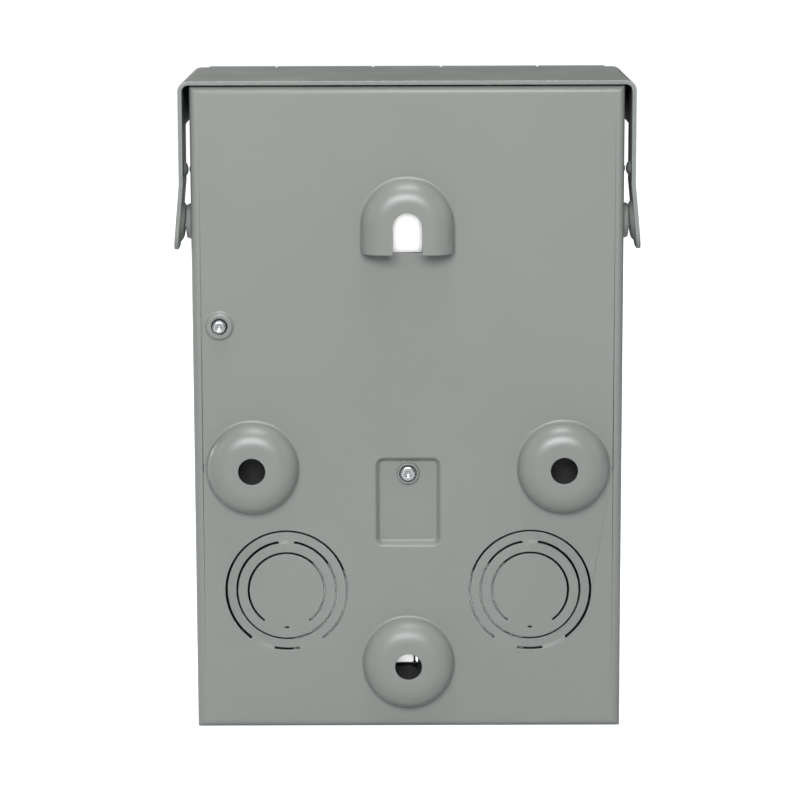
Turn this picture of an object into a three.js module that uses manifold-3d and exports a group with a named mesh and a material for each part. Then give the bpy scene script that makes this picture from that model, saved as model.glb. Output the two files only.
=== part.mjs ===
// Wall-mounted disconnect box for an outdoor unit: a folded sheet-steel pan with a riveted rain hood,
// a flip-up door, a two-pole toggle switch on a moulded base, terminal lugs and an earth bar.
// Millimetres, +Z up, +Y towards the wall. Depths are measured forward from the back panel's outer face,
// drops are measured down from the body's top face.
import * as THREE from 'three';
import { mergeVertices } from 'three/addons/utils/BufferGeometryUtils.js';
import { ConvexGeometry } from 'three/addons/geometries/ConvexGeometry.js';
import Module from 'manifold-3d';

const wasm = await Module();
wasm.setup();

// Driving dimensions
const bodyWidth = 124;
const bodyHeight = 188;
const bodyDepth = 60;
const sheet = 1.2;
const bend = 2.4;
const gap = 0.3;
const bossHeight = 6.5;
const bossBaseRadius = 13.25;
const bossTopRadius = 6.6;
const bossHoleRadius = 3.9;
const bossSpread = bodyWidth / 2 - 17;
const sideBossDrop = bodyHeight - 77.8;
const bottomBossRise = 19.8;
const hangerDrop = 39.7;
const hangerLength = 7.9;
const hangerSlotWidth = 8.4;
const knockoutRadii = [11.1, 14.45, 17.6];
const knockoutSpread = bodyWidth / 2 - 26.5;
const knockoutRise = 41.3;
const knockoutSlit = 0.5;
const recessWidth = 19.8;
const recessHeight = 27;
const recessDrop = bodyHeight - 81.1;
const recessDepth = 2;
const baseScrewDrop = recessDrop + 5.3;
const earthScrewX = bodyWidth / 2 - 7.9;
const earthScrewDrop = 68.7;
const sideFlange = 6;
const bottomLip = 4;
const hoodOverhang = 2;
const hoodCheek = 12;
const hoodBend = 3;
const earDepth = 16;
const earDrop = 47;
const earFlare = 1.8;
const rivetDrop = 39.2;
const rivetDepth = 8;
const rivetRadius = 1.9;
const dimpleDrop = 24.2;
const embossHeight = 1.5;
const pinRadius = 1.5;
const knuckleRadius = 3;
const doorSkirt = 12;
const haspReach = bodyDepth + 18;
const haspX = -3.8;
const haspHeight = 24;
const haspThickness = 1.6;
const haspRivetX = -11;
const haspFootDepth = bodyDepth - 16;
const haspRivetDepth = haspFootDepth + 6;
const baseThickness = 4.5;
const switchWidth = 50;
const switchHeight = 56;
const switchDrop = bodyHeight - 92 - switchHeight / 2;
const caseDepth = 21.7;
const coverDepth = 15.7;
const mouldWall = 2.2;
const poleSpread = 14;
const rotorHeight = 15.7;
const rotorRadius = 4;
const armReach = 16;
const toggleHeight = 30.2;
const toggleHubRadius = 4.4;
const toggleLength = 19;
const toggleTilt = 22;
const lugWidth = 12;
const lugHeight = 13;
const lugDepth = 13;
const strapThickness = 1.6;
const deadFrontDepth = 50;
const deadFrontWidth = 92;
const deadFrontTop = switchDrop - 12;
const deadFrontBottom = switchDrop + switchHeight + 26;

const strapWidth = 7;
const armWidth = 7;
const armThickness = 2;
const togglePinRadius = 1.5;
const poleWallInner = poleSpread - 5.9;
const poleWallOuter = poleSpread - 4.4;
const toggleWidth = 2 * (poleWallInner - 3.1);
const lugScrewRadius = 3;
const outerKnuckle = bodyWidth / 2 - 22;
const hoodKnuckles = [[-outerKnuckle - 20, -outerKnuckle], [-10, 10], [outerKnuckle, outerKnuckle + 20]];
const doorKnuckles = [[-outerKnuckle + 0.6, -10.6], [10.6, outerKnuckle - 0.6]];
const fieldHalf = bodyWidth / 2 - 18;
const fieldTop = 34;
const fieldBottom = bodyHeight - 38;
const rotorHalf = poleSpread + 7;
const finReach = 2.85;
const earthTerminals = [11, 20];

// Places that follow from them
const hoodFront = bodyDepth + gap + sheet + 0.5;
const hoodTopDrop = -(gap + sheet);
const pinDepth = hoodFront + 0.6 + knuckleRadius;
const pinDrop = hoodTopDrop + knuckleRadius;
const doorBack = pinDepth - knuckleRadius;
const doorFront = doorBack + sheet;
const backY = (haspReach - bossHeight) / 2;
const halfBody = bodyWidth / 2;
const halfHood = halfBody + hoodOverhang + sheet;
const baseBack = sheet + recessDepth + gap;
const baseFront = baseBack + baseThickness;
const caseBack = baseFront + gap;
const caseFront = caseBack + caseDepth;
const coverBack = caseFront + gap;
const coverFront = coverBack + coverDepth;
const switchMid = switchDrop + switchHeight / 2;
const rotorDepth = caseBack + rotorHeight;
const toggleDepth = caseBack + toggleHeight;
const contactHeight = 1 + gap + 0.9;
const lineStrapDepth = rotorDepth - armThickness / 2 - contactHeight - strapThickness;
const loadStrapDepth = rotorDepth + armThickness / 2 + contactHeight;
const lineLugDrop = switchDrop - gap - 1 - lugHeight;
const loadLugDrop = switchDrop + switchHeight + gap + 1;
const baseTop = switchDrop - 15;
const postX = deadFrontWidth / 2 - 8;
const postDrops = [switchDrop - 4, switchDrop + switchHeight - 6];
const deadFrontScrews = [[-postX, postDrops[0]], [postX, postDrops[1]]];
const screwX = switchWidth / 2 - 3.7;
const screwDrops = [switchDrop + 4, switchDrop + switchHeight - 4];
const windowRight = -2.75;
const windowLeft = 8;
const windowTop = bodyHeight - bottomBossRise - 4.6;
const lugRound = 6.5;
const lugRoundDrop = bodyHeight - bottomBossRise + 8.6;

const depthToY = (depth) => backY - depth;
const dropToZ = (drop) => bodyHeight - drop;

// ---- solids ----

function solid(geometry) {
  const bare = geometry.index ? geometry.toNonIndexed() : geometry.clone();
  bare.deleteAttribute('normal');
  bare.deleteAttribute('uv');
  const merged = mergeVertices(bare, 1e-5);
  const position = merged.attributes.position.array;
  const index = Uint32Array.from(merged.index.array);
  const [a, b, c] = [new THREE.Vector3(), new THREE.Vector3(), new THREE.Vector3()];
  let volume = 0;
  for (let i = 0; i < index.length; i += 3) {
    a.fromArray(position, 3 * index[i]);
    b.fromArray(position, 3 * index[i + 1]);
    c.fromArray(position, 3 * index[i + 2]);
    volume += a.dot(b.cross(c));
  }
  if (volume < 0) {
    for (let i = 0; i < index.length; i += 3) {
      [index[i], index[i + 1]] = [index[i + 1], index[i]];
    }
  }
  const vertProperties = Float32Array.from(position);
  return new wasm.Manifold(new wasm.Mesh({ numProp: 3, vertProperties, triVerts: index }));
}

// A box between two depths and two drops
function block(x0, x1, depth0, depth1, drop0, drop1) {
  const shape = new THREE.BoxGeometry(x1 - x0, depth1 - depth0, drop1 - drop0);
  shape.translate((x0 + x1) / 2, depthToY((depth0 + depth1) / 2), dropToZ((drop0 + drop1) / 2));
  return solid(shape);
}

// Turns a profile of [radius, distance] points about an axis: 'x', 'z' or 'rear', which is +Y
function turned(profile, axis, x, depth, drop, segments = 20) {
  const points = profile.map(([radius, distance]) => new THREE.Vector2(radius, distance));
  const shape = new THREE.LatheGeometry(points, segments);
  if (axis === 'x') shape.rotateZ(-Math.PI / 2);
  if (axis === 'z') shape.rotateX(Math.PI / 2);
  shape.translate(x, depthToY(depth), dropToZ(drop));
  return solid(shape);
}

// A round bar from one distance to another along an axis
function rod(radius, from, to, axis, x, depth, drop, segments = 16) {
  return turned([[0, from], [radius, from], [radius, to], [0, to]], axis, x, depth, drop, segments);
}

// An outline of [x, drop] points given a thickness in depth
function cutFromSheet(outline, depth0, depth1) {
  const shape = outline instanceof THREE.Shape
    ? outline
    : new THREE.Shape(outline.map(([x, drop]) => new THREE.Vector2(x, dropToZ(drop))));
  const settings = { depth: depth1 - depth0, bevelEnabled: false, curveSegments: 6 };
  const plate = new THREE.ExtrudeGeometry(shape, settings);
  plate.rotateX(Math.PI / 2);
  plate.translate(0, depthToY(depth0), 0);
  return solid(plate);
}

// An outline of [depth, drop] points given a width in x
function sideProfile(outline, x0, x1) {
  const points = outline.map(([depth, drop]) => new THREE.Vector2(depthToY(depth), dropToZ(drop)));
  const shape = new THREE.Shape(points);
  const bar = new THREE.ExtrudeGeometry(shape, { depth: x1 - x0, bevelEnabled: false });
  bar.rotateY(Math.PI / 2);
  bar.rotateX(Math.PI / 2);
  bar.translate(x0, 0, 0);
  return solid(bar);
}

// A pyramid-sided lump: a rectangle at one depth joined to another at a second depth
function frustum(near, nearDepth, far, farDepth) {
  const corners = [];
  for (const [rect, depth] of [[near, nearDepth], [far, farDepth]]) {
    for (const x of [rect.x0, rect.x1]) {
      for (const drop of [rect.drop0, rect.drop1]) {
        corners.push(new THREE.Vector3(x, depthToY(depth), dropToZ(drop)));
      }
    }
  }
  return solid(new ConvexGeometry(corners));
}

// Part of a flat ring in the back panel's plane, between two angles
function ringSlit(radius, from, to, x, drop, depth0, depth1) {
  const shape = new THREE.Shape();
  shape.absarc(x, dropToZ(drop), radius + knockoutSlit / 2, from, to, false);
  shape.absarc(x, dropToZ(drop), radius - knockoutSlit / 2, to, from, true);
  return cutFromSheet(shape, depth0, depth1);
}

const cutAll = (stock, tools) => tools.reduce((rest, tool) => rest.subtract(tool), stock);

// ---- folded sheet body ----

// The pan's envelope with rounded rear bends, shrunk by an inset for its inside
function panEnvelope(inset, front) {
  const radius = bend - inset;
  const half = halfBody - inset;
  const arc = (cu, cv, from) => Array.from({ length: 6 }, (_, i) => {
    const angle = from + (i / 5) * (Math.PI / 2);
    return [cu + radius * Math.cos(angle), cv + radius * Math.sin(angle)];
  });
  const rear = backY - inset;
  const plan = [
    [-half, depthToY(front)],
    [half, depthToY(front)],
    ...arc(half - radius, rear - radius, 0),
    ...arc(-half + radius, rear - radius, Math.PI / 2),
  ];
  const planShape = new THREE.Shape(plan.map(([x, y]) => new THREE.Vector2(x, y)));
  const settings = { depth: bodyHeight - 2 * inset, bevelEnabled: false };
  const tall = new THREE.ExtrudeGeometry(planShape, settings);
  tall.translate(0, 0, inset);
  const side = [
    [depthToY(front), bodyHeight - inset],
    [depthToY(front), inset],
    [rear, inset],
    ...arc(rear - radius, bodyHeight - inset - radius, 0),
  ];
  const outline = side.map(([y, z]) => [backY - y, bodyHeight - z]);
  return solid(tall).intersect(sideProfile(outline, -halfBody, halfBody));
}

// A standoff pressed out of the back: domed shoulders round a flat wall face
function bossProfile(inset) {
  const baseRadius = bossBaseRadius - inset;
  const topRadius = bossTopRadius - inset / 2;
  const height = bossHeight - inset;
  const shoulder = Array.from({ length: 5 }, (_, i) => {
    const angle = (i / 4) * (Math.PI / 2);
    return [topRadius + (baseRadius - topRadius) * Math.cos(angle), height * Math.sin(angle)];
  });
  return [[0, -sheet - 1], [baseRadius, -sheet - 1], ...shoulder, [0, height]];
}

function pressBoss(body, x, drop) {
  const inner = turned(bossProfile(sheet), 'rear', x, 0, drop, 24);
  const outer = turned(bossProfile(0).map(([r, h]) => [r, Math.max(h, -sheet)]), 'rear', x, 0, drop, 24);
  const hole = rod(bossHoleRadius, 0, bossHeight + 1, 'rear', x, 0, drop, 24);
  return body.add(outer).subtract(inner).subtract(hole);
}

// The lanced hanger: half a standoff carried down to a straight sheared mouth, with the slot in its face
function pressHanger(body) {
  const mouth = hangerDrop + hangerLength;
  const shell = (inset) => {
    const profile = bossProfile(inset);
    const outline = profile.slice(2).map(([r, h]) => [r, h]);
    const section = new THREE.Shape([
      ...outline.map(([r, h]) => new THREE.Vector2(r, h)),
      ...outline.slice(0, -1).reverse().map(([r, h]) => new THREE.Vector2(-r, h)),
      new THREE.Vector2(-outline[0][0], -sheet - (inset ? 1 : 0)),
      new THREE.Vector2(outline[0][0], -sheet - (inset ? 1 : 0)),
    ]);
    const skirt = new THREE.ExtrudeGeometry(section, { depth: hangerLength, bevelEnabled: false });
    skirt.translate(0, backY, dropToZ(mouth));
    const domeProfile = profile.map(([r, h]) => [r, inset ? h : Math.max(h, -sheet)]);
    const dome = turned(domeProfile, 'rear', 0, 0, hangerDrop, 24);
    const upper = dome.intersect(block(-bossBaseRadius - 1, bossBaseRadius + 1, -bossHeight - 1, 4,
      hangerDrop - bossBaseRadius - 1, hangerDrop + 0.01));
    return upper.add(solid(skirt));
  };
  const slot = new THREE.Shape();
  const half = hangerSlotWidth / 2;
  slot.moveTo(-half, dropToZ(mouth + 0.01));
  slot.lineTo(half, dropToZ(mouth + 0.01));
  slot.absarc(0, dropToZ(hangerDrop), half, 0, Math.PI, false);
  return body.add(shell(0)).subtract(shell(sheet)).subtract(cutFromSheet(slot, -bossHeight - 1, -0.01));
}

function pressRecess(body) {
  const rect = (inset) => ({
    x0: -recessWidth / 2 + inset,
    x1: recessWidth / 2 - inset,
    drop0: recessDrop + inset,
    drop1: recessDrop + recessHeight - inset,
  });
  const slope = 1.85;
  const lump = frustum(rect(-0.6), sheet - 0.2, rect(slope - 0.6), sheet + recessDepth);
  const dent = frustum(rect(-0.1), -0.1, rect(slope), recessDepth);
  const boss = rod(4, -recessDepth - 0.1, -recessDepth + 1.2, 'rear', 0, 0, baseScrewDrop);
  const hole = rod(2.3 + gap, -recessDepth - sheet - 1, 1, 'rear', 0, 0, baseScrewDrop);
  return body.add(lump).subtract(dent).add(boss).subtract(hole);
}

// Angles where each knockout ring is slit: the inner is tied low down, the middle at the top and the
// outer by two ties either side of a short slit straight below
function slitSpans(ring) {
  const down = -Math.PI / 2;
  const at = (degrees) => down + (degrees * Math.PI) / 180;
  return [[[at(36), at(324)]], [[at(188), at(532)]], [[at(35), at(325)], [at(-13), at(13)]]][ring];
}

function slitKnockout(body, x, drop) {
  const slits = knockoutRadii.flatMap((radius, ring) => slitSpans(ring).map(
    ([from, to]) => ringSlit(radius, from, to, x, drop, -1, sheet + 1),
  ));
  return cutAll(body, slits);
}

function slitBottomKnockout(body) {
  const centreY = depthToY(bodyDepth / 2 - 3);
  const cutSlit = (radius, from, to) => {
    const slit = ringSlit(radius, from, to, 0, bodyHeight, -1, sheet + 1).translate([0, -backY, 0]);
    return slit.rotate([-90, 0, 0]).translate([0, centreY, 0]);
  };
  const slits = knockoutRadii.slice(0, 2).flatMap((radius, ring) => (
    slitSpans(ring).map(([from, to]) => cutSlit(radius, from, to))
  ));
  return cutAll(body, slits);
}

// A piece modelled on the +x side, or its mirror image on the -x side
function onSide(side, tool) {
  return side > 0 ? tool : tool.mirror([1, 0, 0]);
}

function pressSideEmboss(body, side) {
  const face = halfBody + embossHeight;
  const lump = turned([[0, halfBody - 0.6], [6.9, halfBody - 0.6], [6.9, halfBody], [4.65, face], [0, face]],
    'x', 0, rivetDepth, rivetDrop);
  const dent = turned([[0, halfBody - 2], [5.9, halfBody - 2], [5.9, halfBody - sheet], [3.65, face - sheet],
    [0, face - sheet]], 'x', 0, rivetDepth, rivetDrop);
  const hole = rod(rivetRadius + gap, halfBody - 2, face + 1, 'x', 0, rivetDepth, rivetDrop);
  const stud = turned([[0, halfBody - 0.5], [1.6, halfBody - 0.5], [1.6, halfBody], [0.5, halfBody + 0.6],
    [0, halfBody + 0.6]], 'x', 0, rivetDepth, dimpleDrop, 12);
  return body.add(onSide(side, lump)).subtract(onSide(side, dent)).subtract(onSide(side, hole))
    .add(onSide(side, stud));
}

function foldFrontFlange(body, side) {
  const flange = block(halfBody - sideFlange, halfBody - sheet / 2, bodyDepth - sheet, bodyDepth,
    sheet / 2, bodyHeight - sheet / 2);
  return body.add(onSide(side, flange));
}

function nickCorner(body, side) {
  const nick = block(halfBody - 4.6, halfBody + 1, -1, bend, bodyHeight - 1.8, bodyHeight + 1);
  return body.subtract(onSide(side, nick));
}

function foldBottomLip(body) {
  const lip = block(-halfBody + sheet / 2, halfBody - sheet / 2, bodyDepth - sheet, bodyDepth,
    bodyHeight - bottomLip, bodyHeight - sheet / 2);
  const haspGap = block(haspX - haspThickness / 2 - 0.7, haspX + haspThickness / 2 + 0.7,
    bodyDepth - sheet - 1, bodyDepth + 1, bodyHeight - bottomLip - 1, bodyHeight - sheet);
  return body.add(lip).subtract(haspGap);
}

function makeBody() {
  let body = panEnvelope(0, bodyDepth).subtract(panEnvelope(sheet, bodyDepth + 1));
  body = foldBottomLip(body);
  for (const side of [-1, 1]) {
    body = foldFrontFlange(body, side);
    body = pressSideEmboss(body, side);
    body = nickCorner(body, side);
    body = pressBoss(body, side * bossSpread, sideBossDrop);
    body = slitKnockout(body, side * knockoutSpread, bodyHeight - knockoutRise);
  }
  body = pressBoss(body, 0, bodyHeight - bottomBossRise);
  body = pressHanger(body);
  body = pressRecess(body);
  body = slitBottomKnockout(body);
  const earthBoss = rod(3.9, -0.5, 1, 'rear', earthScrewX, 0, earthScrewDrop);
  const earthHole = rod(2 + gap, -3, 3, 'rear', earthScrewX, 0, earthScrewDrop);
  const haspHole = rod(rivetRadius + gap, -1, 3, 'z', haspRivetX, haspRivetDepth, bodyHeight);
  return body.add(earthBoss).subtract(earthHole).subtract(haspHole);
}

// ---- rain hood ----

function makeHood() {
  const arc = (cx, cv, radius, from, to) => Array.from({ length: 6 }, (_, i) => {
    const angle = from + ((to - from) * i) / 5;
    return [cx + radius * Math.cos(angle), cv - radius * Math.sin(angle)];
  });
  const tunnel = (inset, low) => [
    [halfHood - inset, low],
    ...arc(halfHood - hoodBend, hoodTopDrop + hoodBend, hoodBend - inset, 0, Math.PI / 2),
    ...arc(-halfHood + hoodBend, hoodTopDrop + hoodBend, hoodBend - inset, Math.PI / 2, Math.PI),
    [-halfHood + inset, low],
  ];
  let hood = cutFromSheet(tunnel(0, hoodCheek), 0, hoodFront);
  hood = hood.subtract(cutFromSheet(tunnel(sheet, hoodCheek + 1), -1, hoodFront - sheet));
  const earOut = halfHood + earFlare;
  const earLine = [[halfHood, hoodCheek - 1], [halfHood, 30], [earOut, 42], [earOut - 0.4, earDrop]];
  const ear = [...earLine, ...earLine.slice().reverse().map(([x, drop]) => [x - sheet, drop])];
  const earX = earOut - sheet - 0.45;
  const tip = halfBody + embossHeight + gap;
  for (const side of [-1, 1]) {
    const flap = cutFromSheet(ear, 0, earDepth);
    const cone = turned([[0, tip], [4.65, tip], [5.9, earX + 0.3], [0, earX + 0.3]],
      'x', 0, rivetDepth, rivetDrop);
    const dent = turned([[0, tip + sheet], [3.7, tip + sheet], [5, earX + 3], [0, earX + 3]],
      'x', 0, rivetDepth, rivetDrop);
    const hole = rod(rivetRadius + gap, tip - 1, tip + 4, 'x', 0, rivetDepth, rivetDrop);
    const bead = turned([[0, halfBody + 0.9], [0.5, halfBody + 0.9], [1.8, halfHood - sheet + 0.2],
      [0, halfHood - sheet + 0.2]], 'x', 0, rivetDepth, dimpleDrop, 12);
    hood = hood.add(onSide(side, flap.add(cone).subtract(dent).subtract(hole).add(bead)));
  }
  for (const [x0, x1] of hoodKnuckles) hood = hood.add(knuckle(x0, x1, true));
  return hood;
}

// A rolled barrel round the pin, with the strip of sheet that it is rolled from
function knuckle(x0, x1, onHood) {
  const barrel = turned([
    [pinRadius + gap, x0], [knuckleRadius, x0], [knuckleRadius, x1], [pinRadius + gap, x1],
    [pinRadius + gap, x0],
  ], 'x', 0, pinDepth, pinDrop, 20);
  const strip = onHood
    ? block(x0, x1, hoodFront - 0.5, pinDepth, hoodTopDrop, hoodTopDrop + sheet)
    : block(x0, x1, doorBack, doorFront, pinDrop, pinDrop + knuckleRadius + 1.5);
  return barrel.add(strip.subtract(rod(pinRadius + gap + 0.05, x0 - 1, x1 + 1, 'x', 0, pinDepth, pinDrop)));
}

function makeHoodRivet() {
  const start = halfBody - sheet - 1.6;
  const seat = halfBody + embossHeight + gap + sheet + 0.1;
  const tailTop = halfBody + embossHeight - sheet - 1.3;
  return turned([
    [0, start], [2.6, start], [3.2, start + 0.5], [3.2, tailTop], [rivetRadius, tailTop],
    [rivetRadius, seat], [3.3, seat], [3.1, seat + 0.7], [1.8, seat + 1.2], [0, seat + 1.3],
  ], 'x', 0, rivetDepth, rivetDrop, 20);
}

// ---- door and its pin ----

function makeDoor() {
  const half = halfBody + 0.6 + sheet;
  const top = pinDrop + knuckleRadius + gap;
  const bottom = bodyHeight - 0.6;
  const skirtTop = hoodCheek + 1.5;
  const skirtBack = doorBack - doorSkirt;
  let door = block(-half, half, doorBack, doorFront, top, bottom);
  for (const side of [-1, 1]) {
    door = door.add(onSide(side, block(half - sheet, half, skirtBack, doorBack + 0.1, skirtTop, bottom)));
  }
  const field = (inset) => ({
    x0: -fieldHalf + inset,
    x1: fieldHalf - inset,
    drop0: fieldTop + inset,
    drop1: fieldBottom - inset,
  });
  const raised = frustum(field(0), doorFront - 0.3, field(2), doorFront + 1.6);
  const hollow = frustum(field(1), doorBack - 0.1, field(3), doorBack + 1.6);
  door = door.add(raised).subtract(hollow);
  for (const [x0, x1] of doorKnuckles) door = door.add(knuckle(x0, x1, false));
  const slotHalf = haspThickness / 2 + 0.8;
  return door.subtract(block(haspX - slotHalf, haspX + slotHalf, doorBack - 1, doorFront + 1,
    bodyHeight - haspHeight - 2.5, bodyHeight - 3));
}

function makeHasp() {
  const leaf = sideProfile([
    [haspFootDepth, bodyHeight - sheet - gap], [haspFootDepth, bodyHeight - 12],
    [bodyDepth - 2, bodyHeight - haspHeight + 2], [bodyDepth, bodyHeight - haspHeight],
    [haspReach - 3, bodyHeight - haspHeight],
    [haspReach, bodyHeight - haspHeight + 3], [haspReach, bodyHeight - 9], [haspReach - 3, bodyHeight - 6],
    [bodyDepth - sheet - 1, bodyHeight - 6], [bodyDepth - sheet - 1, bodyHeight - sheet - gap],
  ], haspX - haspThickness / 2, haspX + haspThickness / 2);
  const foot = block(haspX - 13, haspX, haspFootDepth, haspFootDepth + 12,
    bodyHeight - sheet - gap - haspThickness, bodyHeight - sheet - gap);
  const eye = rod(4.2, haspX - 3, haspX + 3, 'x', 0, haspReach - 7, bodyHeight - haspHeight / 2 - 3);
  const hole = rod(rivetRadius + gap, -1, 8, 'z', haspRivetX, haspRivetDepth, bodyHeight);
  return leaf.add(foot).subtract(eye).subtract(hole);
}

function makeHaspRivet() {
  const seat = sheet + gap + haspThickness + 0.1;
  return turned([[0, 0.1], [rivetRadius, 0.1], [rivetRadius, seat], [3.3, seat], [3, seat + 0.8],
    [1.6, seat + 1.4], [0, seat + 1.5]], 'z', haspRivetX, haspRivetDepth, bodyHeight, 20);
}

// ---- switch, base and terminals ----

function makeBase() {
  const half = postX + 6;
  const wing = bossSpread + 7;
  const wingTop = sideBossDrop - 14.2;
  const wingBottom = sideBossDrop + 13.8;
  const legTop = switchDrop + switchHeight + 17;
  const legBottom = bodyHeight - 7;
  const outline = [
    [-half, baseTop], [half, baseTop], [half, wingTop], [wing, wingTop], [wing, wingBottom],
    [20, wingBottom], [20, legTop], [12, legTop + 5], [12, legBottom], [-12, legBottom], [-12, legTop + 5],
    [-20, legTop], [-20, wingBottom], [-wing, wingBottom], [-wing, wingTop], [-half, wingTop],
  ];
  let base = cutFromSheet(outline, baseBack, baseFront);
  for (const x of [-postX, postX]) {
    for (const drop of postDrops) {
      base = base.add(rod(4, -deadFrontDepth + gap, -baseFront + 0.5, 'rear', x, 0, drop));
      base = base.subtract(rod(1.8, -deadFrontDepth - 1, -deadFrontDepth + 14, 'rear', x, 0, drop, 14));
    }
  }
  for (const x of [-poleSpread, poleSpread]) {
    base = base.add(block(x - 6.5, x + 6.5, baseFront - 0.5, lineStrapDepth - gap,
      baseTop, switchDrop - gap));
    base = base.add(block(x - 6.5, x + 6.5, baseFront - 0.5, loadStrapDepth - gap,
      switchDrop + switchHeight + gap, switchDrop + switchHeight + 15));
  }
  const eyelet = rod(3.9, -baseFront - 1, -baseFront + 2.6, 'rear', 0, 0, baseScrewDrop);
  const bore = rod(2.3 + gap, -baseFront - 1, 0, 'rear', 0, 0, baseScrewDrop);
  const opening = block(windowRight, windowLeft, baseBack - 1, baseFront + 1, windowTop, lugRoundDrop);
  const round = rod(lugRound, -baseFront, -baseBack, 'rear', 0.6, 0, lugRoundDrop, 28);
  base = base.subtract(eyelet).subtract(bore).subtract(opening).add(round);
  for (const x of [-screwX, screwX]) {
    for (const drop of screwDrops) {
      base = base.subtract(rod(1.8, -baseFront - 1, -baseBack - 0.8, 'rear', x, 0, drop, 14));
    }
  }
  return base;
}

function makeCase() {
  const half = switchWidth / 2;
  const bottom = switchDrop + switchHeight;
  let shell = block(-half, half, caseBack, caseFront, switchDrop, bottom);
  const chambers = [
    [-half + mouldWall, -poleWallOuter],
    [-poleWallInner, poleWallInner],
    [poleWallOuter, half - mouldWall],
  ];
  for (const [x0, x1] of chambers) {
    shell = shell.subtract(block(x0, x1, caseBack + mouldWall, caseFront + 1,
      switchDrop + mouldWall, bottom - mouldWall));
  }
  const seat = rotorRadius + gap;
  const seatHalf = rotorHalf + 0.4;
  shell = shell.subtract(rod(seat, -seatHalf, seatHalf, 'x', 0, rotorDepth, switchMid));
  shell = shell.subtract(block(-seatHalf, seatHalf, rotorDepth, caseFront + 1,
    switchMid - seat, switchMid + seat));
  for (const x of [-poleSpread, poleSpread]) {
    const slotHalf = strapWidth / 2 + gap;
    shell = shell.subtract(block(x - slotHalf, x + slotHalf, lineStrapDepth - gap,
      lineStrapDepth + strapThickness + gap, switchDrop - 1, switchDrop + mouldWall + 1));
    shell = shell.subtract(block(x - slotHalf, x + slotHalf, loadStrapDepth - gap,
      caseFront + 1, bottom - mouldWall - 1, bottom + 1));
  }
  return addScrewColumns(shell, caseBack, caseFront);
}

// Solid corners with a clear bore for the long case screws
function addScrewColumns(shell, depth0, depth1) {
  let result = shell;
  for (const x of [-screwX, screwX]) {
    for (const drop of screwDrops) {
      const column = block(x - 3.5, x + 3.5, depth0 + 0.1, depth1 - 0.1, drop - 3.5, drop + 3.5);
      const bore = rod(1.6 + gap, -depth1 - 1, -depth0 + 1, 'rear', x, 0, drop, 14);
      result = result.add(column).subtract(bore);
    }
  }
  return result;
}

function makeCover() {
  const half = switchWidth / 2;
  const bottom = switchDrop + switchHeight;
  const chamfer = 2;
  let shell = block(-half, half, coverBack, coverFront - chamfer, switchDrop, bottom);
  const rect = (inset) => ({
    x0: -half + inset,
    x1: half - inset,
    drop0: switchDrop + inset,
    drop1: bottom - inset,
  });
  shell = shell.add(frustum(rect(0), coverFront - chamfer - 0.1, rect(chamfer), coverFront));
  shell = shell.subtract(block(-half + mouldWall, half - mouldWall, coverBack - 1, coverFront - mouldWall,
    switchDrop + mouldWall, bottom - mouldWall));
  shell = shell.subtract(block(-toggleWidth / 2 - 0.8, toggleWidth / 2 + 0.8, coverBack, coverFront + 1,
    switchMid - 8.5, switchMid + 8.5));
  shell = addScrewColumns(shell, coverBack, coverFront);
  for (const x of [-screwX, screwX]) {
    for (const drop of screwDrops) {
      shell = shell.subtract(rod(3.3, -coverFront - 1, -coverFront + 2.4, 'rear', x, 0, drop, 16));
    }
  }
  return shell;
}

// The steel cradle that carries the toggle's pin between two cheeks
function makeFrame() {
  const cheekX = poleWallInner - 0.5;
  const seat = caseBack + mouldWall + gap;
  let frame = block(-cheekX, cheekX, seat, seat + sheet, switchMid - 9, switchMid + 9);
  const outline = [
    [seat, switchMid - 9], [seat, switchMid + 9], [toggleDepth - 6, switchMid + 9],
    [toggleDepth + 3, switchMid + 3.6], [toggleDepth + 3, switchMid - 3.6], [toggleDepth - 6, switchMid - 9],
  ];
  for (const side of [-1, 1]) {
    frame = frame.add(onSide(side, sideProfile(outline, cheekX - sheet, cheekX)));
  }
  frame = frame.subtract(rod(rotorRadius + 2 * gap, -10, 10, 'x', 0, rotorDepth, switchMid));
  return frame.subtract(rod(togglePinRadius + gap, -10, 10, 'x', 0, toggleDepth, switchMid));
}

// Modelled pointing straight out, then laid over to its on position
function makeToggle() {
  const hubHalf = toggleWidth / 2;
  const hub = rod(toggleHubRadius, -hubHalf, hubHalf, 'x', 0, toggleDepth, switchMid, 28);
  const lever = sideProfile([
    [toggleDepth, switchMid - 3.4], [toggleDepth + toggleLength - 1.2, switchMid - 2.3],
    [toggleDepth + toggleLength, switchMid - 1.2], [toggleDepth + toggleLength, switchMid + 1.2],
    [toggleDepth + toggleLength - 1.2, switchMid + 2.3], [toggleDepth, switchMid + 3.4],
  ], -hubHalf + 0.6, hubHalf - 0.6);
  const bore = rod(togglePinRadius + gap, -10, 10, 'x', 0, toggleDepth, switchMid);
  return turnAbout(hub.add(lever).subtract(bore), toggleDepth, switchMid, toggleTilt);
}

// Turns a solid about an x axis; a positive angle lifts what points forward
function turnAbout(tool, depth, drop, degrees) {
  const centre = [0, depthToY(depth), dropToZ(drop)];
  return tool.translate(centre.map((value) => -value)).rotate([-degrees, 0, 0]).translate(centre);
}

function makeTogglePin() {
  return rod(togglePinRadius, -poleWallInner + 0.1, poleWallInner - 0.1, 'x', 0, toggleDepth, switchMid, 16);
}

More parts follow.
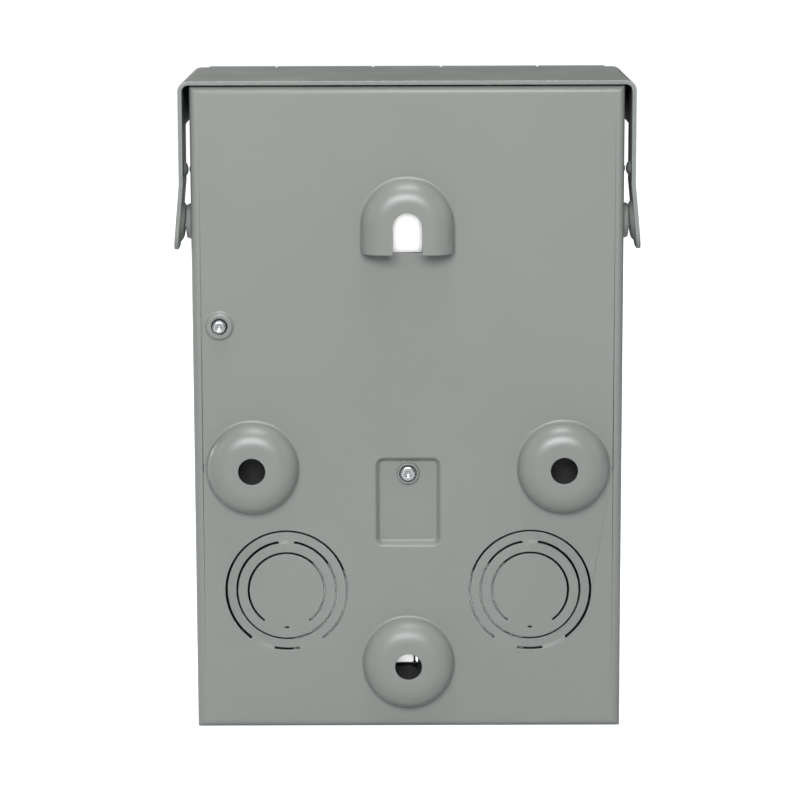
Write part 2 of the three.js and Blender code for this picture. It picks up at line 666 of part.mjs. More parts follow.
function makeRotor() {
  let rotor = rod(rotorRadius, -rotorHalf, rotorHalf, 'x', 0, rotorDepth, switchMid, 24);
  for (const x of [-poleSpread, poleSpread]) {
    rotor = rotor.subtract(block(x - armWidth / 2 - gap, x + armWidth / 2 + gap,
      rotorDepth - armThickness / 2 - gap, rotorDepth + armThickness / 2 + gap,
      switchMid - 8, switchMid + 8));
    rotor = rotor.add(block(x - armWidth / 2 - 1.2, x - armWidth / 2 - gap,
      rotorDepth - finReach, rotorDepth + finReach, switchMid - finReach, switchMid + finReach));
  }
  return rotor;
}

// A bridging contact arm with a silver tip at each end, one facing back and one facing forward
function makeArm() {
  const half = armThickness / 2;
  let arm = block(-armWidth / 2, armWidth / 2, rotorDepth - half, rotorDepth + half,
    switchMid - armReach, switchMid + armReach);
  arm = arm.add(rod(2.6, -rotorDepth, -rotorDepth + half + 1, 'rear', 0, 0, switchMid - armReach + 3, 16));
  return arm.add(rod(2.6, -rotorDepth - half - 1, -rotorDepth, 'rear', 0, 0, switchMid + armReach - 3, 16));
}

// Copper strap from under a lug into the case, with its fixed contact
function makeLineStrap() {
  const strap = block(-strapWidth / 2, strapWidth / 2, lineStrapDepth, lineStrapDepth + strapThickness,
    lineLugDrop, switchMid - armReach + 5.6);
  return strap.add(rod(2.6, -lineStrapDepth - strapThickness - 0.9, -lineStrapDepth - 0.5, 'rear', 0, 0,
    switchMid - armReach + 3, 16));
}

function makeLoadStrap() {
  const strap = block(-strapWidth / 2, strapWidth / 2, loadStrapDepth, loadStrapDepth + strapThickness,
    switchMid + armReach - 5.6, loadLugDrop + lugHeight);
  return strap.add(rod(2.6, -loadStrapDepth - 0.5, -loadStrapDepth + 0.9, 'rear', 0, 0,
    switchMid + armReach - 3, 16));
}

// An aluminium box lug, standing at the origin of its strap
function makeLug(strapDepth, drop) {
  const back = strapDepth + strapThickness + gap;
  const lug = block(-lugWidth / 2, lugWidth / 2, back, back + lugDepth, drop, drop + lugHeight);
  const wireWay = turned([[0, -1], [3.6, -1], [3.6, lugHeight + 1], [0, lugHeight + 1]], 'z', 0, back + 5,
    drop + lugHeight, 20);
  const thread = rod(lugScrewRadius + gap, -back - lugDepth - 1, -back - 5, 'rear',
    0, 0, drop + lugHeight / 2, 18);
  return lug.subtract(wireWay).subtract(thread);
}

// A socket set screw, its tip just inside the wire way
function makeLugScrew(strapDepth, drop) {
  const back = strapDepth + strapThickness + gap;
  const front = back + lugDepth + 1.4;
  const screw = rod(lugScrewRadius, -front, -back - 7, 'rear', 0, 0, drop + lugHeight / 2, 18);
  return screw.subtract(rod(1.7, -front - 1, -front + 2.6, 'rear', 0, 0, drop + lugHeight / 2, 6));
}

// A pan-head screw: head front at one depth, tip at a lesser one
function makeScrew(x, drop, headFront, headRadius, headHeight, shankRadius, tip) {
  const underHead = -headFront + headHeight;
  const screw = turned([
    [0, -headFront], [headRadius - 0.7, -headFront], [headRadius, -headFront + 0.7], [headRadius, underHead],
    [shankRadius, underHead], [shankRadius, -tip - 0.6], [shankRadius - 0.6, -tip], [0, -tip],
  ], 'rear', x, 0, drop, 12);
  return screw.subtract(block(x - headRadius - 1, x + headRadius + 1, headFront - 1, headFront + 1,
    drop - 0.5, drop + 0.5));
}

function makeDeadFront() {
  const half = deadFrontWidth / 2;
  const front = deadFrontDepth + 1.6;
  let plate = block(-half, half, deadFrontDepth, front, deadFrontTop, deadFrontBottom);
  plate = plate.add(block(-toggleWidth / 2 - 4, toggleWidth / 2 + 4, deadFrontDepth, front + 1.2,
    switchMid - 14, switchMid + 14));
  plate = plate.subtract(block(-toggleWidth / 2 - 1.5, toggleWidth / 2 + 1.5, deadFrontDepth - 1, front + 3,
    switchMid - 11.5, switchMid + 11.5));
  for (const x of [-poleSpread, poleSpread]) {
    for (const drop of [lineLugDrop + lugHeight / 2, loadLugDrop + lugHeight / 2]) {
      plate = plate.subtract(rod(4.2, -front - 1, -deadFrontDepth + 1, 'rear', x, 0, drop, 20));
    }
  }
  for (const [x, drop] of deadFrontScrews) {
    plate = plate.subtract(rod(1.5 + gap, -front - 1, -deadFrontDepth + 1, 'rear', x, 0, drop, 16));
  }
  return plate;
}

function makeEarthBar() {
  const back = sheet + gap;
  let bar = block(earthScrewX - 4.6, earthScrewX + 4.6, back, back + 8,
    earthScrewDrop - 6, earthScrewDrop + 26);
  bar = bar.subtract(rod(2 + gap, -20, 0, 'rear', earthScrewX, 0, earthScrewDrop));
  for (const offset of earthTerminals) {
    bar = bar.subtract(rod(2.6, -6, 6, 'x', earthScrewX, back + 3.4, earthScrewDrop + offset));
    bar = bar.subtract(rod(2.1 + gap, -back - 9, -back - 4, 'rear',
      earthScrewX, 0, earthScrewDrop + offset, 16));
  }
  return bar;
}

function makeLabel() {
  const half = fieldHalf - 8;
  const label = block(-half, half, doorBack - gap - 0.3, doorBack - gap, fieldTop + 4, bodyHeight - 3.2);
  return label.subtract(block(haspX - 2.2, haspX + 2.2, doorBack - 2, doorBack, bodyHeight - haspHeight - 4,
    bodyHeight + 1));
}

// ---- finishes ----

function finish(color, roughness, metalness) {
  return new THREE.MeshStandardMaterial({ color, roughness, metalness });
}
const greyEnamel = () => finish(0x949995, 0.45, 0.1);
const zinc = () => finish(0xb9bcbe, 0.32, 0.9);
const blackMoulding = () => finish(0x1d1f20, 0.5, 0);
const greyMoulding = () => finish(0x3a3d3f, 0.5, 0);
const copper = () => finish(0xb4704a, 0.35, 1);
const aluminium = () => finish(0xb7b9ba, 0.38, 0.9);
const paper = () => finish(0xf0f0ec, 0.8, 0);

// ---- assembly ----

const group = new THREE.Group();

function place(name, tool, material, x = 0) {
  const mesh = tool.getMesh();
  const geometry = new THREE.BufferGeometry();
  geometry.setAttribute('position', new THREE.BufferAttribute(Float32Array.from(mesh.vertProperties), 3));
  geometry.setIndex(new THREE.BufferAttribute(Uint32Array.from(mesh.triVerts), 1));
  geometry.computeVertexNormals();
  const part = new THREE.Mesh(geometry, material);
  part.name = name;
  part.position.x = x;
  group.add(part);
}

place('enclosure_body', makeBody(), greyEnamel());
place('rain_hood', makeHood(), greyEnamel());
place('door', makeDoor(), greyEnamel());
place('door_hinge_pin', rod(pinRadius, -halfBody + 1, halfBody - 1, 'x', 0, pinDepth, pinDrop, 16), zinc());
place('door_label', makeLabel(), paper());
place('padlock_hasp', makeHasp(), zinc());
place('hasp_rivet', makeHaspRivet(), zinc());
place('hood_rivet_left', makeHoodRivet(), zinc());
place('hood_rivet_right', makeHoodRivet().mirror([1, 0, 0]), zinc());

place('switch_base', makeBase(), blackMoulding());
const baseScrew = makeScrew(0, baseScrewDrop, baseFront - 0.2, 3.6, 2.2, 2.3, 0.3);
place('base_mounting_screw', baseScrew, zinc());
place('switch_case', makeCase(), blackMoulding());
place('switch_cover', makeCover(), blackMoulding());
place('mechanism_frame', makeFrame(), zinc());
place('switch_toggle', makeToggle(), greyMoulding());
place('toggle_pin', makeTogglePin(), zinc());
place('contact_rotor', makeRotor(), greyMoulding());
place('dead_front', makeDeadFront(), greyMoulding());

for (const [side, x] of [['right', -poleSpread], ['left', poleSpread]]) {
  place(`contact_arm_${side}`, makeArm(), copper(), x);
  place(`line_strap_${side}`, makeLineStrap(), copper(), x);
  place(`load_strap_${side}`, makeLoadStrap(), copper(), x);
  place(`line_lug_${side}`, makeLug(lineStrapDepth, lineLugDrop), aluminium(), x);
  place(`load_lug_${side}`, makeLug(loadStrapDepth, loadLugDrop), aluminium(), x);
  place(`line_lug_screw_${side}`, makeLugScrew(lineStrapDepth, lineLugDrop), zinc(), x);
  place(`load_lug_screw_${side}`, makeLugScrew(loadStrapDepth, loadLugDrop), zinc(), x);
}

for (const [end, drop] of [['top', screwDrops[0]], ['bottom', screwDrops[1]]]) {
  for (const [side, x] of [['right', -screwX], ['left', screwX]]) {
    const screw = makeScrew(x, drop, coverFront - 0.2, 3, 1.9, 1.6, baseBack + 1);
    place(`case_screw_${end}_${side}`, screw, zinc());
  }
}
deadFrontScrews.forEach(([x, drop], i) => {
  const headFront = deadFrontDepth + 1.6 + gap + 2;
  const screw = makeScrew(x, drop, headFront, 3.2, 2, 1.5, deadFrontDepth - 10);
  place(`dead_front_screw_${i + 1}`, screw, zinc());
});

place('earth_bar', makeEarthBar(), aluminium());
const barFront = sheet + gap + 8;
const barScrew = makeScrew(earthScrewX, earthScrewDrop, barFront + gap + 2.2, 3.9, 2.2, 2, -2.6);
place('earth_bar_screw', barScrew, zinc());
earthTerminals.forEach((offset, i) => {
  const screw = makeScrew(earthScrewX, earthScrewDrop + offset, barFront + gap + 2, 3.3, 2, 2.1,
    barFront - 2.8);
  place(`earth_terminal_screw_${i + 1}`, screw, zinc());
});

export default group;
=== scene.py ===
import math

import bmesh
import bpy
from mathutils import Euler, Matrix, Vector


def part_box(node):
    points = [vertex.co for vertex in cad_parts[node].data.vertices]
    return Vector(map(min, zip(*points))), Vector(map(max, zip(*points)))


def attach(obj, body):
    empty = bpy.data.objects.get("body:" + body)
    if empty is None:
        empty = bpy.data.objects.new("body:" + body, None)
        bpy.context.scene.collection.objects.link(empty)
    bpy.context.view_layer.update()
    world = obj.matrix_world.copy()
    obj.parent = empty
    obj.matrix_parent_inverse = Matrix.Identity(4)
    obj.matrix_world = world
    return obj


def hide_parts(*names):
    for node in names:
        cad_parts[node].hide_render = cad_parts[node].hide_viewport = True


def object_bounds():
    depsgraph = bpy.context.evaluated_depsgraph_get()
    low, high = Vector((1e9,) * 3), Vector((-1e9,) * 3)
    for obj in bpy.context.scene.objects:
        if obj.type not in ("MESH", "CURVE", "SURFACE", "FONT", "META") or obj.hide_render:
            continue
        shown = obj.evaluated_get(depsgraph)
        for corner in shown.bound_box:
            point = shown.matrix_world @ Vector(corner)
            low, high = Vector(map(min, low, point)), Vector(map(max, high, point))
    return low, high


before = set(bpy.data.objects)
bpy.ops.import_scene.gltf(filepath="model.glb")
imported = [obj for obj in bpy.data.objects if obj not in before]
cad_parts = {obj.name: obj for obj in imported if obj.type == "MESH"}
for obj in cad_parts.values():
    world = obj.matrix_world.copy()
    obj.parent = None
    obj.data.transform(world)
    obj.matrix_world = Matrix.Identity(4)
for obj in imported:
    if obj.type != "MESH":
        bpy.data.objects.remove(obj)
cad_low, cad_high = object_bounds()

# ---- Studio ----
# The box stands on a pale floor with its wall side towards the camera. A large softbox lights it from
# above the camera, a small one hangs over it, and a strip stands on each side. A round lamp at the
# lens reaches only the label, through the holes. The air is a soft grey, and white where it is seen.
camera_data = bpy.data.cameras.new("camera")
camera_data.sensor_width = 36
camera_data.lens = 136.9
camera_data.shift_x = -0.0023
camera = bpy.data.objects.new("camera", camera_data)
bpy.context.scene.collection.objects.link(camera)
bpy.context.scene.camera = camera
eye = Vector((0, 0.91375, 0.2507))
look_down = math.radians(80)
camera_roll = math.radians(-0.16)
looking = Euler((look_down, 0, math.pi)).to_matrix().to_4x4()
camera.matrix_world = Matrix.Translation(eye) @ looking @ Matrix.Rotation(camera_roll, 4, "Z")
bpy.context.scene.view_settings.view_transform = "Standard"


def hang_lamp(name, size, place, target, watts, shape="RECTANGLE"):
    """An area lamp at a place, turned to face its target."""
    lamp = bpy.data.lights.new(name, "AREA")
    lamp.shape = shape
    lamp.size, lamp.size_y = size
    lamp.energy = watts
    holder = bpy.data.objects.new(name, lamp)
    bpy.context.scene.collection.objects.link(holder)
    place = Vector(place)
    turned = (place - Vector(target)).to_track_quat("Z", "Y").to_matrix().to_4x4()
    holder.matrix_world = Matrix.Translation(place) @ turned
    return holder


middle = (cad_low + cad_high) / 2
hang_lamp("key_softbox", (1.1, 0.6), (0.1, 1.45, 0.86), middle, 29.5)
hang_lamp("top_softbox", (0.34, 0.3), (0, 0.16, 0.8), middle, 2.6)
for side in (-1, 1):
    hang_lamp("side_strip", (0.1, 0.5), (side * 0.7, 0.25, 0.4), middle, 0.55)
hang_lamp("front_fill", (0.7, 0.7), (1.1, -1.0, 0.55), middle, 22)
lens_lamp = hang_lamp("lens_lamp", (0.05, 0.05), eye, middle, 11.5, "DISK")
inside = bpy.data.collections.new("seen_through_holes")
lens_lamp.light_linking.receiver_collection = inside

air = bpy.data.worlds.new("air")
bpy.context.scene.world = air
air.use_nodes = True
air_tree = air.node_tree
air_light = air_tree.nodes["Background"]
seen = air_tree.nodes.new("ShaderNodeLightPath")
air_shade = air_tree.nodes.new("ShaderNodeMix")
air_shade.data_type = "RGBA"
air_shade.inputs[6].default_value = (0.07, 0.072, 0.072, 1)
air_shade.inputs[7].default_value = (1, 1, 1, 1)
air_tree.links.new(seen.outputs["Is Camera Ray"], air_shade.inputs[0])
air_tree.links.new(air_shade.outputs[2], air_light.inputs["Color"])

floor_bm = bmesh.new()
floor_half = 3
bmesh.ops.create_grid(floor_bm, x_segments=1, y_segments=1, size=floor_half,
                      matrix=Matrix.Translation((0, 0, cad_low.z - 0.0002)))
floor_mesh = bpy.data.meshes.new("floor")
floor_bm.to_mesh(floor_mesh)
floor_bm.free()
floor = bpy.data.objects.new("floor", floor_mesh)
bpy.context.scene.collection.objects.link(floor)
pale = bpy.data.materials.new("pale_floor")
pale.use_nodes = True
pale_shader = pale.node_tree.nodes["Principled BSDF"]
pale_shader.inputs["Base Color"].default_value = (0.6, 0.6, 0.6, 1)
pale_shader.inputs["Roughness"].default_value = 0.7
pale_shader.inputs["Emission Color"].default_value = (1, 1, 1, 1)
looked_at = pale.node_tree.nodes.new("ShaderNodeLightPath")
pale.node_tree.links.new(looked_at.outputs["Is Camera Ray"], pale_shader.inputs["Emission Strength"])
floor_mesh.materials.append(pale)

# ---- Folded pan ----
# The back, sides, top and bottom are one blank of 1.2 mm galvanised steel, pierced and pressed flat,
# then folded with 2.4 mm bends. The standoffs, hanger, recess and screw bosses are pressed out of the
# back, the knockouts are slit in it and left on their ties, and the whole is baked grey enamel.
mm = 0.001
pan_low, pan_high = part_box("enclosure_body")
sheet = 1.2
bend = 2.4
boss_height = 6.5
side_emboss = 1.5
collar_width = 0.4
refill_border = 0.35
sheared_edge = 0.16
back = pan_high.y - boss_height * mm
front = pan_low.y
top = pan_high.z
half_width = pan_high.x / mm - side_emboss
pan_depth = (back - front) / mm
pan_height = (top - pan_low.z) / mm
to_wall = Vector((0, 1, 0))
down = Vector((0, 0, -1))


def at(x, depth, drop):
    """A place, in millimetres: sideways, forward from the back panel, and down from the pan's top."""
    return Vector((x * mm, back - depth * mm, top - drop * mm))


def wired(tree, kind, values=(), links=(), **settings):
    """One shader node, with its settings, the values of its sockets and the links into it."""
    made = tree.nodes.new(kind)
    for key, value in settings.items():
        setattr(made, key, value)
    for socket, value in dict(values).items():
        made.inputs[socket].default_value = value
    for socket, source in dict(links).items():
        tree.links.new(source, made.inputs[socket])
    return made


def new_effect(name, sizes, results):
    """An empty shader group that reads a position and some sizes and puts out masks."""
    tree = bpy.data.node_groups.new(name, "ShaderNodeTree")
    tree.interface.new_socket("Position", in_out="INPUT", socket_type="NodeSocketVector")
    for size in sizes:
        tree.interface.new_socket(size, in_out="INPUT", socket_type="NodeSocketFloat")
    for result in results:
        tree.interface.new_socket(result, in_out="OUTPUT", socket_type="NodeSocketFloat")
    return tree, tree.nodes.new("NodeGroupInput").outputs, tree.nodes.new("NodeGroupOutput").inputs


def make_grain():
    """Fine ripple for the surface's height, and slow patches for its colour and gloss."""
    tree, given, result = new_effect("grain", ["Fine", "Coarse"], ["Height", "Tone"])
    ripple = wired(tree, "ShaderNodeTexNoise", {"Detail": 2.0, "Roughness": 0.45},
                   {"Vector": given["Position"], "Scale": given["Fine"]})
    patches = wired(tree, "ShaderNodeTexNoise", {"Detail": 5.0, "Roughness": 0.6},
                    {"Vector": given["Position"], "Scale": given["Coarse"]})
    spread = wired(tree, "ShaderNodeMapRange", {"From Min": 0.3, "From Max": 0.7},
                   {"Value": patches.outputs["Fac"]})
    tree.links.new(ripple.outputs["Fac"], result["Height"])
    tree.links.new(spread.outputs["Result"], result["Tone"])
    return tree


def make_rub():
    """Where corners are rubbed through: near a sharp edge, broken up in patches."""
    tree, given, result = new_effect("rub", ["Reach", "Breakup"], ["Bare"])
    rounded = wired(tree, "ShaderNodeBevel", links={"Radius": given["Reach"]}, samples=4)
    surface = wired(tree, "ShaderNodeNewGeometry")
    facing = wired(tree, "ShaderNodeVectorMath", operation="DOT_PRODUCT",
                   links={0: rounded.outputs["Normal"], 1: surface.outputs["Normal"]})
    edge = wired(tree, "ShaderNodeMapRange", {"From Min": 0.97, "From Max": 0.8},
                 {"Value": facing.outputs["Value"]})
    broken = wired(tree, "ShaderNodeTexNoise", {"Detail": 6.0, "Roughness": 0.7},
                   {"Vector": given["Position"], "Scale": given["Breakup"]})
    patches = wired(tree, "ShaderNodeMapRange", {"From Min": 0.52, "From Max": 0.64},
                    {"Value": broken.outputs["Fac"]})
    both = wired(tree, "ShaderNodeMath", operation="MULTIPLY",
                 links={0: edge.outputs["Result"], 1: patches.outputs["Result"]})
    tree.links.new(both.outputs[0], result["Bare"])
    return tree


def make_dust():
    """Dust that settles on what faces up."""
    tree, given, result = new_effect("dust", ["Amount"], ["Dust"])
    surface = wired(tree, "ShaderNodeNewGeometry")
    normal = wired(tree, "ShaderNodeSeparateXYZ", links={0: surface.outputs["Normal"]})
    upward = wired(tree, "ShaderNodeMapRange", {"From Min": 0.4, "From Max": 1.0},
                   {"Value": normal.outputs["Z"]})
    cloud = wired(tree, "ShaderNodeTexNoise", {"Scale": 55.0, "Detail": 6.0, "Roughness": 0.65},
                  {"Vector": given["Position"]})
    patches = wired(tree, "ShaderNodeMapRange", {"From Min": 0.35, "From Max": 0.75},
                    {"Value": cloud.outputs["Fac"]})
    lying = wired(tree, "ShaderNodeMath", operation="MULTIPLY",
                  links={0: upward.outputs["Result"], 1: patches.outputs["Result"]})
    amount = wired(tree, "ShaderNodeMath", operation="MULTIPLY",
                   links={0: lying.outputs[0], 1: given["Amount"]})
    tree.links.new(amount.outputs[0], result["Dust"])
    return tree


grain, rub, dust = make_grain(), make_rub(), make_dust()


def blended(tree, share, first, second):
    """A colour between two colours; each is a socket or a fixed colour."""
    mix = wired(tree, "ShaderNodeMix", data_type="RGBA", links={0: share})
    for socket, colour in ((6, first), (7, second)):
        if isinstance(colour, tuple):
            mix.inputs[socket].default_value = (*colour, 1)
        else:
            tree.links.new(colour, mix.inputs[socket])
    return mix.outputs[2]


def make_finish(name, colour, roughness, metallic=0.0, tone=0.06, fine=1500, coarse=30, relief=0.006,
                stretch=(1, 1, 1), bare=None, breakup=260, dusty=0.0):
    """A finish with patchy colour and gloss and a fine relief, and, where asked, rubbed edges and dust."""
    material = bpy.data.materials.new(name)
    material.use_nodes = True
    tree = material.node_tree
    shader = tree.nodes["Principled BSDF"]
    shader.inputs["Metallic"].default_value = metallic
    place = wired(tree, "ShaderNodeTexCoord").outputs["Object"]
    drawn = wired(tree, "ShaderNodeMapping", {"Scale": stretch}, {"Vector": place}).outputs["Vector"]
    skin = wired(tree, "ShaderNodeGroup", node_tree=grain, values={"Fine": fine, "Coarse": coarse},
                 links={"Position": drawn})
    darker = tuple(channel * (1 - tone) for channel in colour)
    lighter = tuple(min(1, channel * (1 + tone)) for channel in colour)
    shade = blended(tree, skin.outputs["Tone"], darker, lighter)
    gloss = wired(tree, "ShaderNodeMapRange", {"To Min": roughness - 0.04, "To Max": roughness + 0.05},
                  {"Value": skin.outputs["Tone"]}).outputs["Result"]
    if bare:
        rubbed = wired(tree, "ShaderNodeGroup", node_tree=rub, values={"Reach": 0.0006, "Breakup": breakup},
                       links={"Position": place}).outputs["Bare"]
        shade = blended(tree, rubbed, shade, bare)
    if dusty:
        lying = wired(tree, "ShaderNodeGroup", node_tree=dust, values={"Amount": dusty},
                      links={"Position": place}).outputs["Dust"]
        shade = blended(tree, lying, shade, (0.46, 0.44, 0.4))
        dulled = wired(tree, "ShaderNodeMath", {1: 0.5}, {0: lying, 2: gloss}, operation="MULTIPLY_ADD")
        gloss = dulled.outputs[0]
    bumps = wired(tree, "ShaderNodeBump", {"Distance": relief * mm}, {"Height": skin.outputs["Height"]})
    tree.links.new(shade, shader.inputs["Base Color"])
    tree.links.new(gloss, shader.inputs["Roughness"])
    tree.links.new(bumps.outputs["Normal"], shader.inputs["Normal"])
    return material


def box_between(bm, low, high):
    """A six-sided block between two corners."""
    shift = Matrix.Translation((low + high) / 2)
    return bmesh.ops.create_cube(bm, size=1, matrix=shift @ Matrix.Diagonal((*(high - low), 1)))["verts"]


def face_towards(bm, direction):
    """The largest face that looks in a direction."""
    bm.normal_update()
    looking = [face for face in bm.faces if face.normal.dot(direction) > 0.999]
    return max(looking, key=lambda face: face.calc_area())


def edges_where(bm, test):
    return [edge for edge in bm.edges if all(test(vert.co) for vert in edge.verts)]


def push_edges(bm, edges, offset):
    """Draws new faces out of some edges and returns their far vertices."""
    made = bmesh.ops.extrude_edge_only(bm, edges=edges)["geom"]
    far = [item for item in made if isinstance(item, bmesh.types.BMVert)]
    bmesh.ops.translate(bm, verts=far, vec=offset)
    return far


def round_edges(bm, edges, radius, segments):
    bmesh.ops.bevel(bm, geom=edges, offset=radius * mm, segments=segments, profile=0.5, affect="EDGES",
                    material=-1, clamp_overlap=True)


def arc(cu, cv, ru, rv, start, end, steps):
    """Points of a round or oval stretch of a profile."""
    angles = [math.radians(start + (end - start) * i / steps) for i in range(steps + 1)]
    return [(cu + ru * math.cos(angle), cv + rv * math.sin(angle)) for angle in angles]


def spin_profile(bm, profile, centre, out, start, angle=2 * math.pi, steps=96):
    """Turns a (radius, height) profile about an axis and returns the edges that it made."""
    old = set(bm.edges)
    points = [bm.verts.new(centre + start * (radius * mm) + out * (height * mm))
              for radius, height in profile]
    lines = [bm.edges.new(pair) for pair in zip(points, points[1:])]
    bmesh.ops.spin(bm, geom=points + lines, cent=centre, axis=-out, angle=angle, steps=steps,
                   use_merge=angle > 6)
    return [edge for edge in bm.edges if edge not in old]


def press(bm, profile, centre, out, start):
    """Presses a round feature, with a flat collar round it, out of a flat face and returns its rim."""
    collar = profile[0][0] + collar_width
    made = spin_profile(bm, [(collar, 0)] + profile, centre, out, start)
    return [edge for edge in made if edge.is_boundary
            and all(abs((vert.co - centre).length - collar * mm) < 1e-6 for vert in edge.verts)]


def refill(bm, face, rims):
    """Fills a flat face again inside a narrow border, leaving out what lies inside the rims."""
    bmesh.ops.inset_individual(bm, faces=[face], thickness=refill_border * mm)
    edges = list(face.edges) + [edge for rim in rims for edge in rim]
    normal = face.normal.copy()
    bmesh.ops.delete(bm, geom=[face], context="FACES_ONLY")
    bmesh.ops.triangle_fill(bm, use_beauty=True, edges=edges, normal=normal)


def rounded_face(bm, corners, radius, out):
    """A flat face with rounded corners that looks out."""
    old = set(bm.faces)
    bm.faces.new([bm.verts.new(corner) for corner in corners])
    made = [face for face in bm.faces if face not in old][0]
    bmesh.ops.bevel(bm, geom=list(made.verts), offset=radius * mm, segments=6, profile=0.5,
                    affect="VERTICES", material=-1)
    made = [face for face in bm.faces if face not in old][0]
    made.normal_update()
    if made.normal.dot(out) < 0:
        made.normal_flip()
    return made


def press_field(bm, face, width, rise):
    """Presses a flat face out or in over a smooth slope; returns the rim and the flat floor."""
    corners = [vert.co.copy() for vert in face.verts]
    steps = 8
    heights = [0] + [rise * (1 - math.cos(math.pi * i / steps)) / 2 for i in range(steps + 1)] + [rise]
    for low, high in zip(heights, heights[1:]):
        bmesh.ops.inset_individual(bm, faces=[face], thickness=width / steps * mm, depth=(high - low) * mm)
    rim = [edge for edge in bm.edges if edge.is_boundary
           and all(min((vert.co - corner).length for corner in corners) < 1e-7 for vert in edge.verts)]
    return rim, face


def add_piece(name, bm, material, body, slot, *nodes):
    """Cleans a mesh, makes it a smooth piece of the object under its body and hides the nodes it stands for.
    """
    bmesh.ops.remove_doubles(bm, verts=bm.verts, dist=1e-6)
    bmesh.ops.recalc_face_normals(bm, faces=bm.faces)
    mesh = bpy.data.meshes.new(name)
    bm.to_mesh(mesh)
    bm.free()
    mesh.materials.append(material)
    mesh.shade_smooth()
    piece = bpy.data.objects.new(name, mesh)
    bpy.context.scene.collection.objects.link(piece)
    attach(piece, body)
    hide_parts(*nodes)
    return piece


def soften(piece, radius, segments=2, clamped=False, plate=False):
    """Breaks the sharp edges and keeps the flat faces flat; a plate has nothing but flat faces."""
    edge = piece.modifiers.new("broken_edges", "BEVEL")
    edge.width = radius * mm
    edge.segments = segments
    edge.limit_method = "ANGLE"
    edge.angle_limit = math.radians(38)
    edge.use_clamp_overlap = clamped
    edge.miter_outer = "MITER_ARC"
    edge.harden_normals = plate
    if not plate:
        flat = piece.modifiers.new("flat_faces", "WEIGHTED_NORMAL")
        flat.keep_sharp = True


def give_gauge(piece, thickness):
    """Gives a drawn skin the thickness of its sheet, inwards."""
    gauge = piece.modifiers.new("gauge", "SOLIDIFY")
    gauge.thickness = thickness * mm
    gauge.offset = -1
    gauge.use_even_offset = True


def slit_rings(bm, radii, ties, centre, out, towards, lean=0):
    """Concentric knockouts: each slit is open except at its ties, given in degrees from one direction.
    The outer ring may lean in. Returns the rim in the face round them."""
    half_slit = 0.3
    turned = Matrix.Translation(centre) @ out.to_track_quat("Z", "Y").to_matrix().to_4x4()
    corners = bmesh.ops.create_circle(bm, cap_ends=True, segments=120, radius=(radii[0] + half_slit) * mm,
                                      matrix=turned)["verts"]
    disc = corners[0].link_faces[0]
    disc.normal_update()
    if disc.normal.dot(out) < 0:
        disc.normal_flip()
    edges = [ring + offset for ring in radii for offset in (half_slit, -half_slit)]
    for outer, inner in zip(edges, edges[1:]):
        step = (outer - inner) * mm * math.cos(math.pi / 120)
        bmesh.ops.inset_individual(bm, faces=[disc], thickness=step)
    faces = {face for face in bm.faces if (face.calc_center_median() - centre).length < edges[0] * mm
             and len(face.verts) == 4 and abs((face.calc_center_median() - centre).dot(out)) < 1e-7}
    cut = []
    for ring, spans in zip(radii, ties):
        for face in faces:
            away = face.calc_center_median() - centre
            if abs(away.length - ring * mm) > 0.2 * mm:
                continue
            turn = math.degrees(towards.angle(away))
            if not any(low <= turn <= high for low, high in spans):
                cut.append(face)
    bmesh.ops.delete(bm, geom=cut, context="FACES_ONLY")
    rim = [edge for edge in bm.edges if len(edge.link_faces) < 2
           and all(abs((vert.co - centre).length - edges[0] * mm) < 1e-6 for vert in edge.verts)]
    loose = [edge for edge in bm.edges if not edge.link_faces and edge not in rim
             and all((vert.co - centre).length < edges[0] * mm + 1e-6 for vert in edge.verts)]
    bmesh.ops.delete(bm, geom=loose, context="EDGES")
    if lean:
        leaning = [vert for vert in bm.verts if abs((vert.co - centre).dot(out)) < 1e-7
                   and edges[2] * mm - 1e-6 < (vert.co - centre).length < edges[1] * mm + 1e-6]
        hinge = centre - Vector((math.copysign(radii[0] * mm, lean), 0, 0))
        bmesh.ops.rotate(bm, verts=leaning, cent=hinge, matrix=Matrix.Rotation(-lean, 3, "Z"))
    return rim


enamel = make_finish("grey_enamel", (0.19, 0.205, 0.194), 0.36, tone=0.025, fine=1100, coarse=14,
                     relief=0.004, bare=(0.45, 0.47, 0.46), breakup=420, dusty=0.12)

bm = bmesh.new()
box_between(bm, at(-half_width, pan_depth, pan_height), at(half_width, 0, 0))
bmesh.ops.delete(bm, geom=[face_towards(bm, -to_wall)], context="FACES_ONLY")

flange = 6
lip = 4
hasp_x = -3.8
hasp_gap = 1.5
for side in (-1, 1):
    upright = edges_where(bm, lambda co: abs(co.y - front) < 1e-6
                          and abs(co.x - side * half_width * mm) < 1e-6)
    far = push_edges(bm, upright, Vector((-side * flange * mm, 0, 0)))
    min(far, key=lambda vert: vert.co.z).co.z += flange * mm
sill = edges_where(bm, lambda co: abs(co.y - front) < 1e-6 and co.z < pan_low.z + 1e-6)[0]
if sill.verts[0].co.x > sill.verts[1].co.x:
    start, end = sill.verts[1], sill.verts[0]
else:
    start, end = sill.verts
gap_left = (hasp_x - hasp_gap + half_width) / (2 * half_width)
gap_wide = 2 * hasp_gap / ((1 - gap_left) * 2 * half_width)
first_cut = bmesh.utils.edge_split(sill, start, gap_left)[1]
rest = next(edge for edge in first_cut.link_edges if end in edge.verts)
bmesh.utils.edge_split(rest, first_cut, gap_wide)
for edge in edges_where(bm, lambda co: abs(co.y - front) < 1e-6 and co.z < pan_low.z + 1e-6):
    if abs(sum(vert.co.x for vert in edge.verts) / 2 - hasp_x * mm) > hasp_gap * mm:
        for vert in push_edges(bm, [edge], Vector((0, 0, lip * mm))):
            if abs(vert.co.x) > (half_width - 1) * mm:
                vert.co.x -= math.copysign((flange + 1) * mm, vert.co.x)
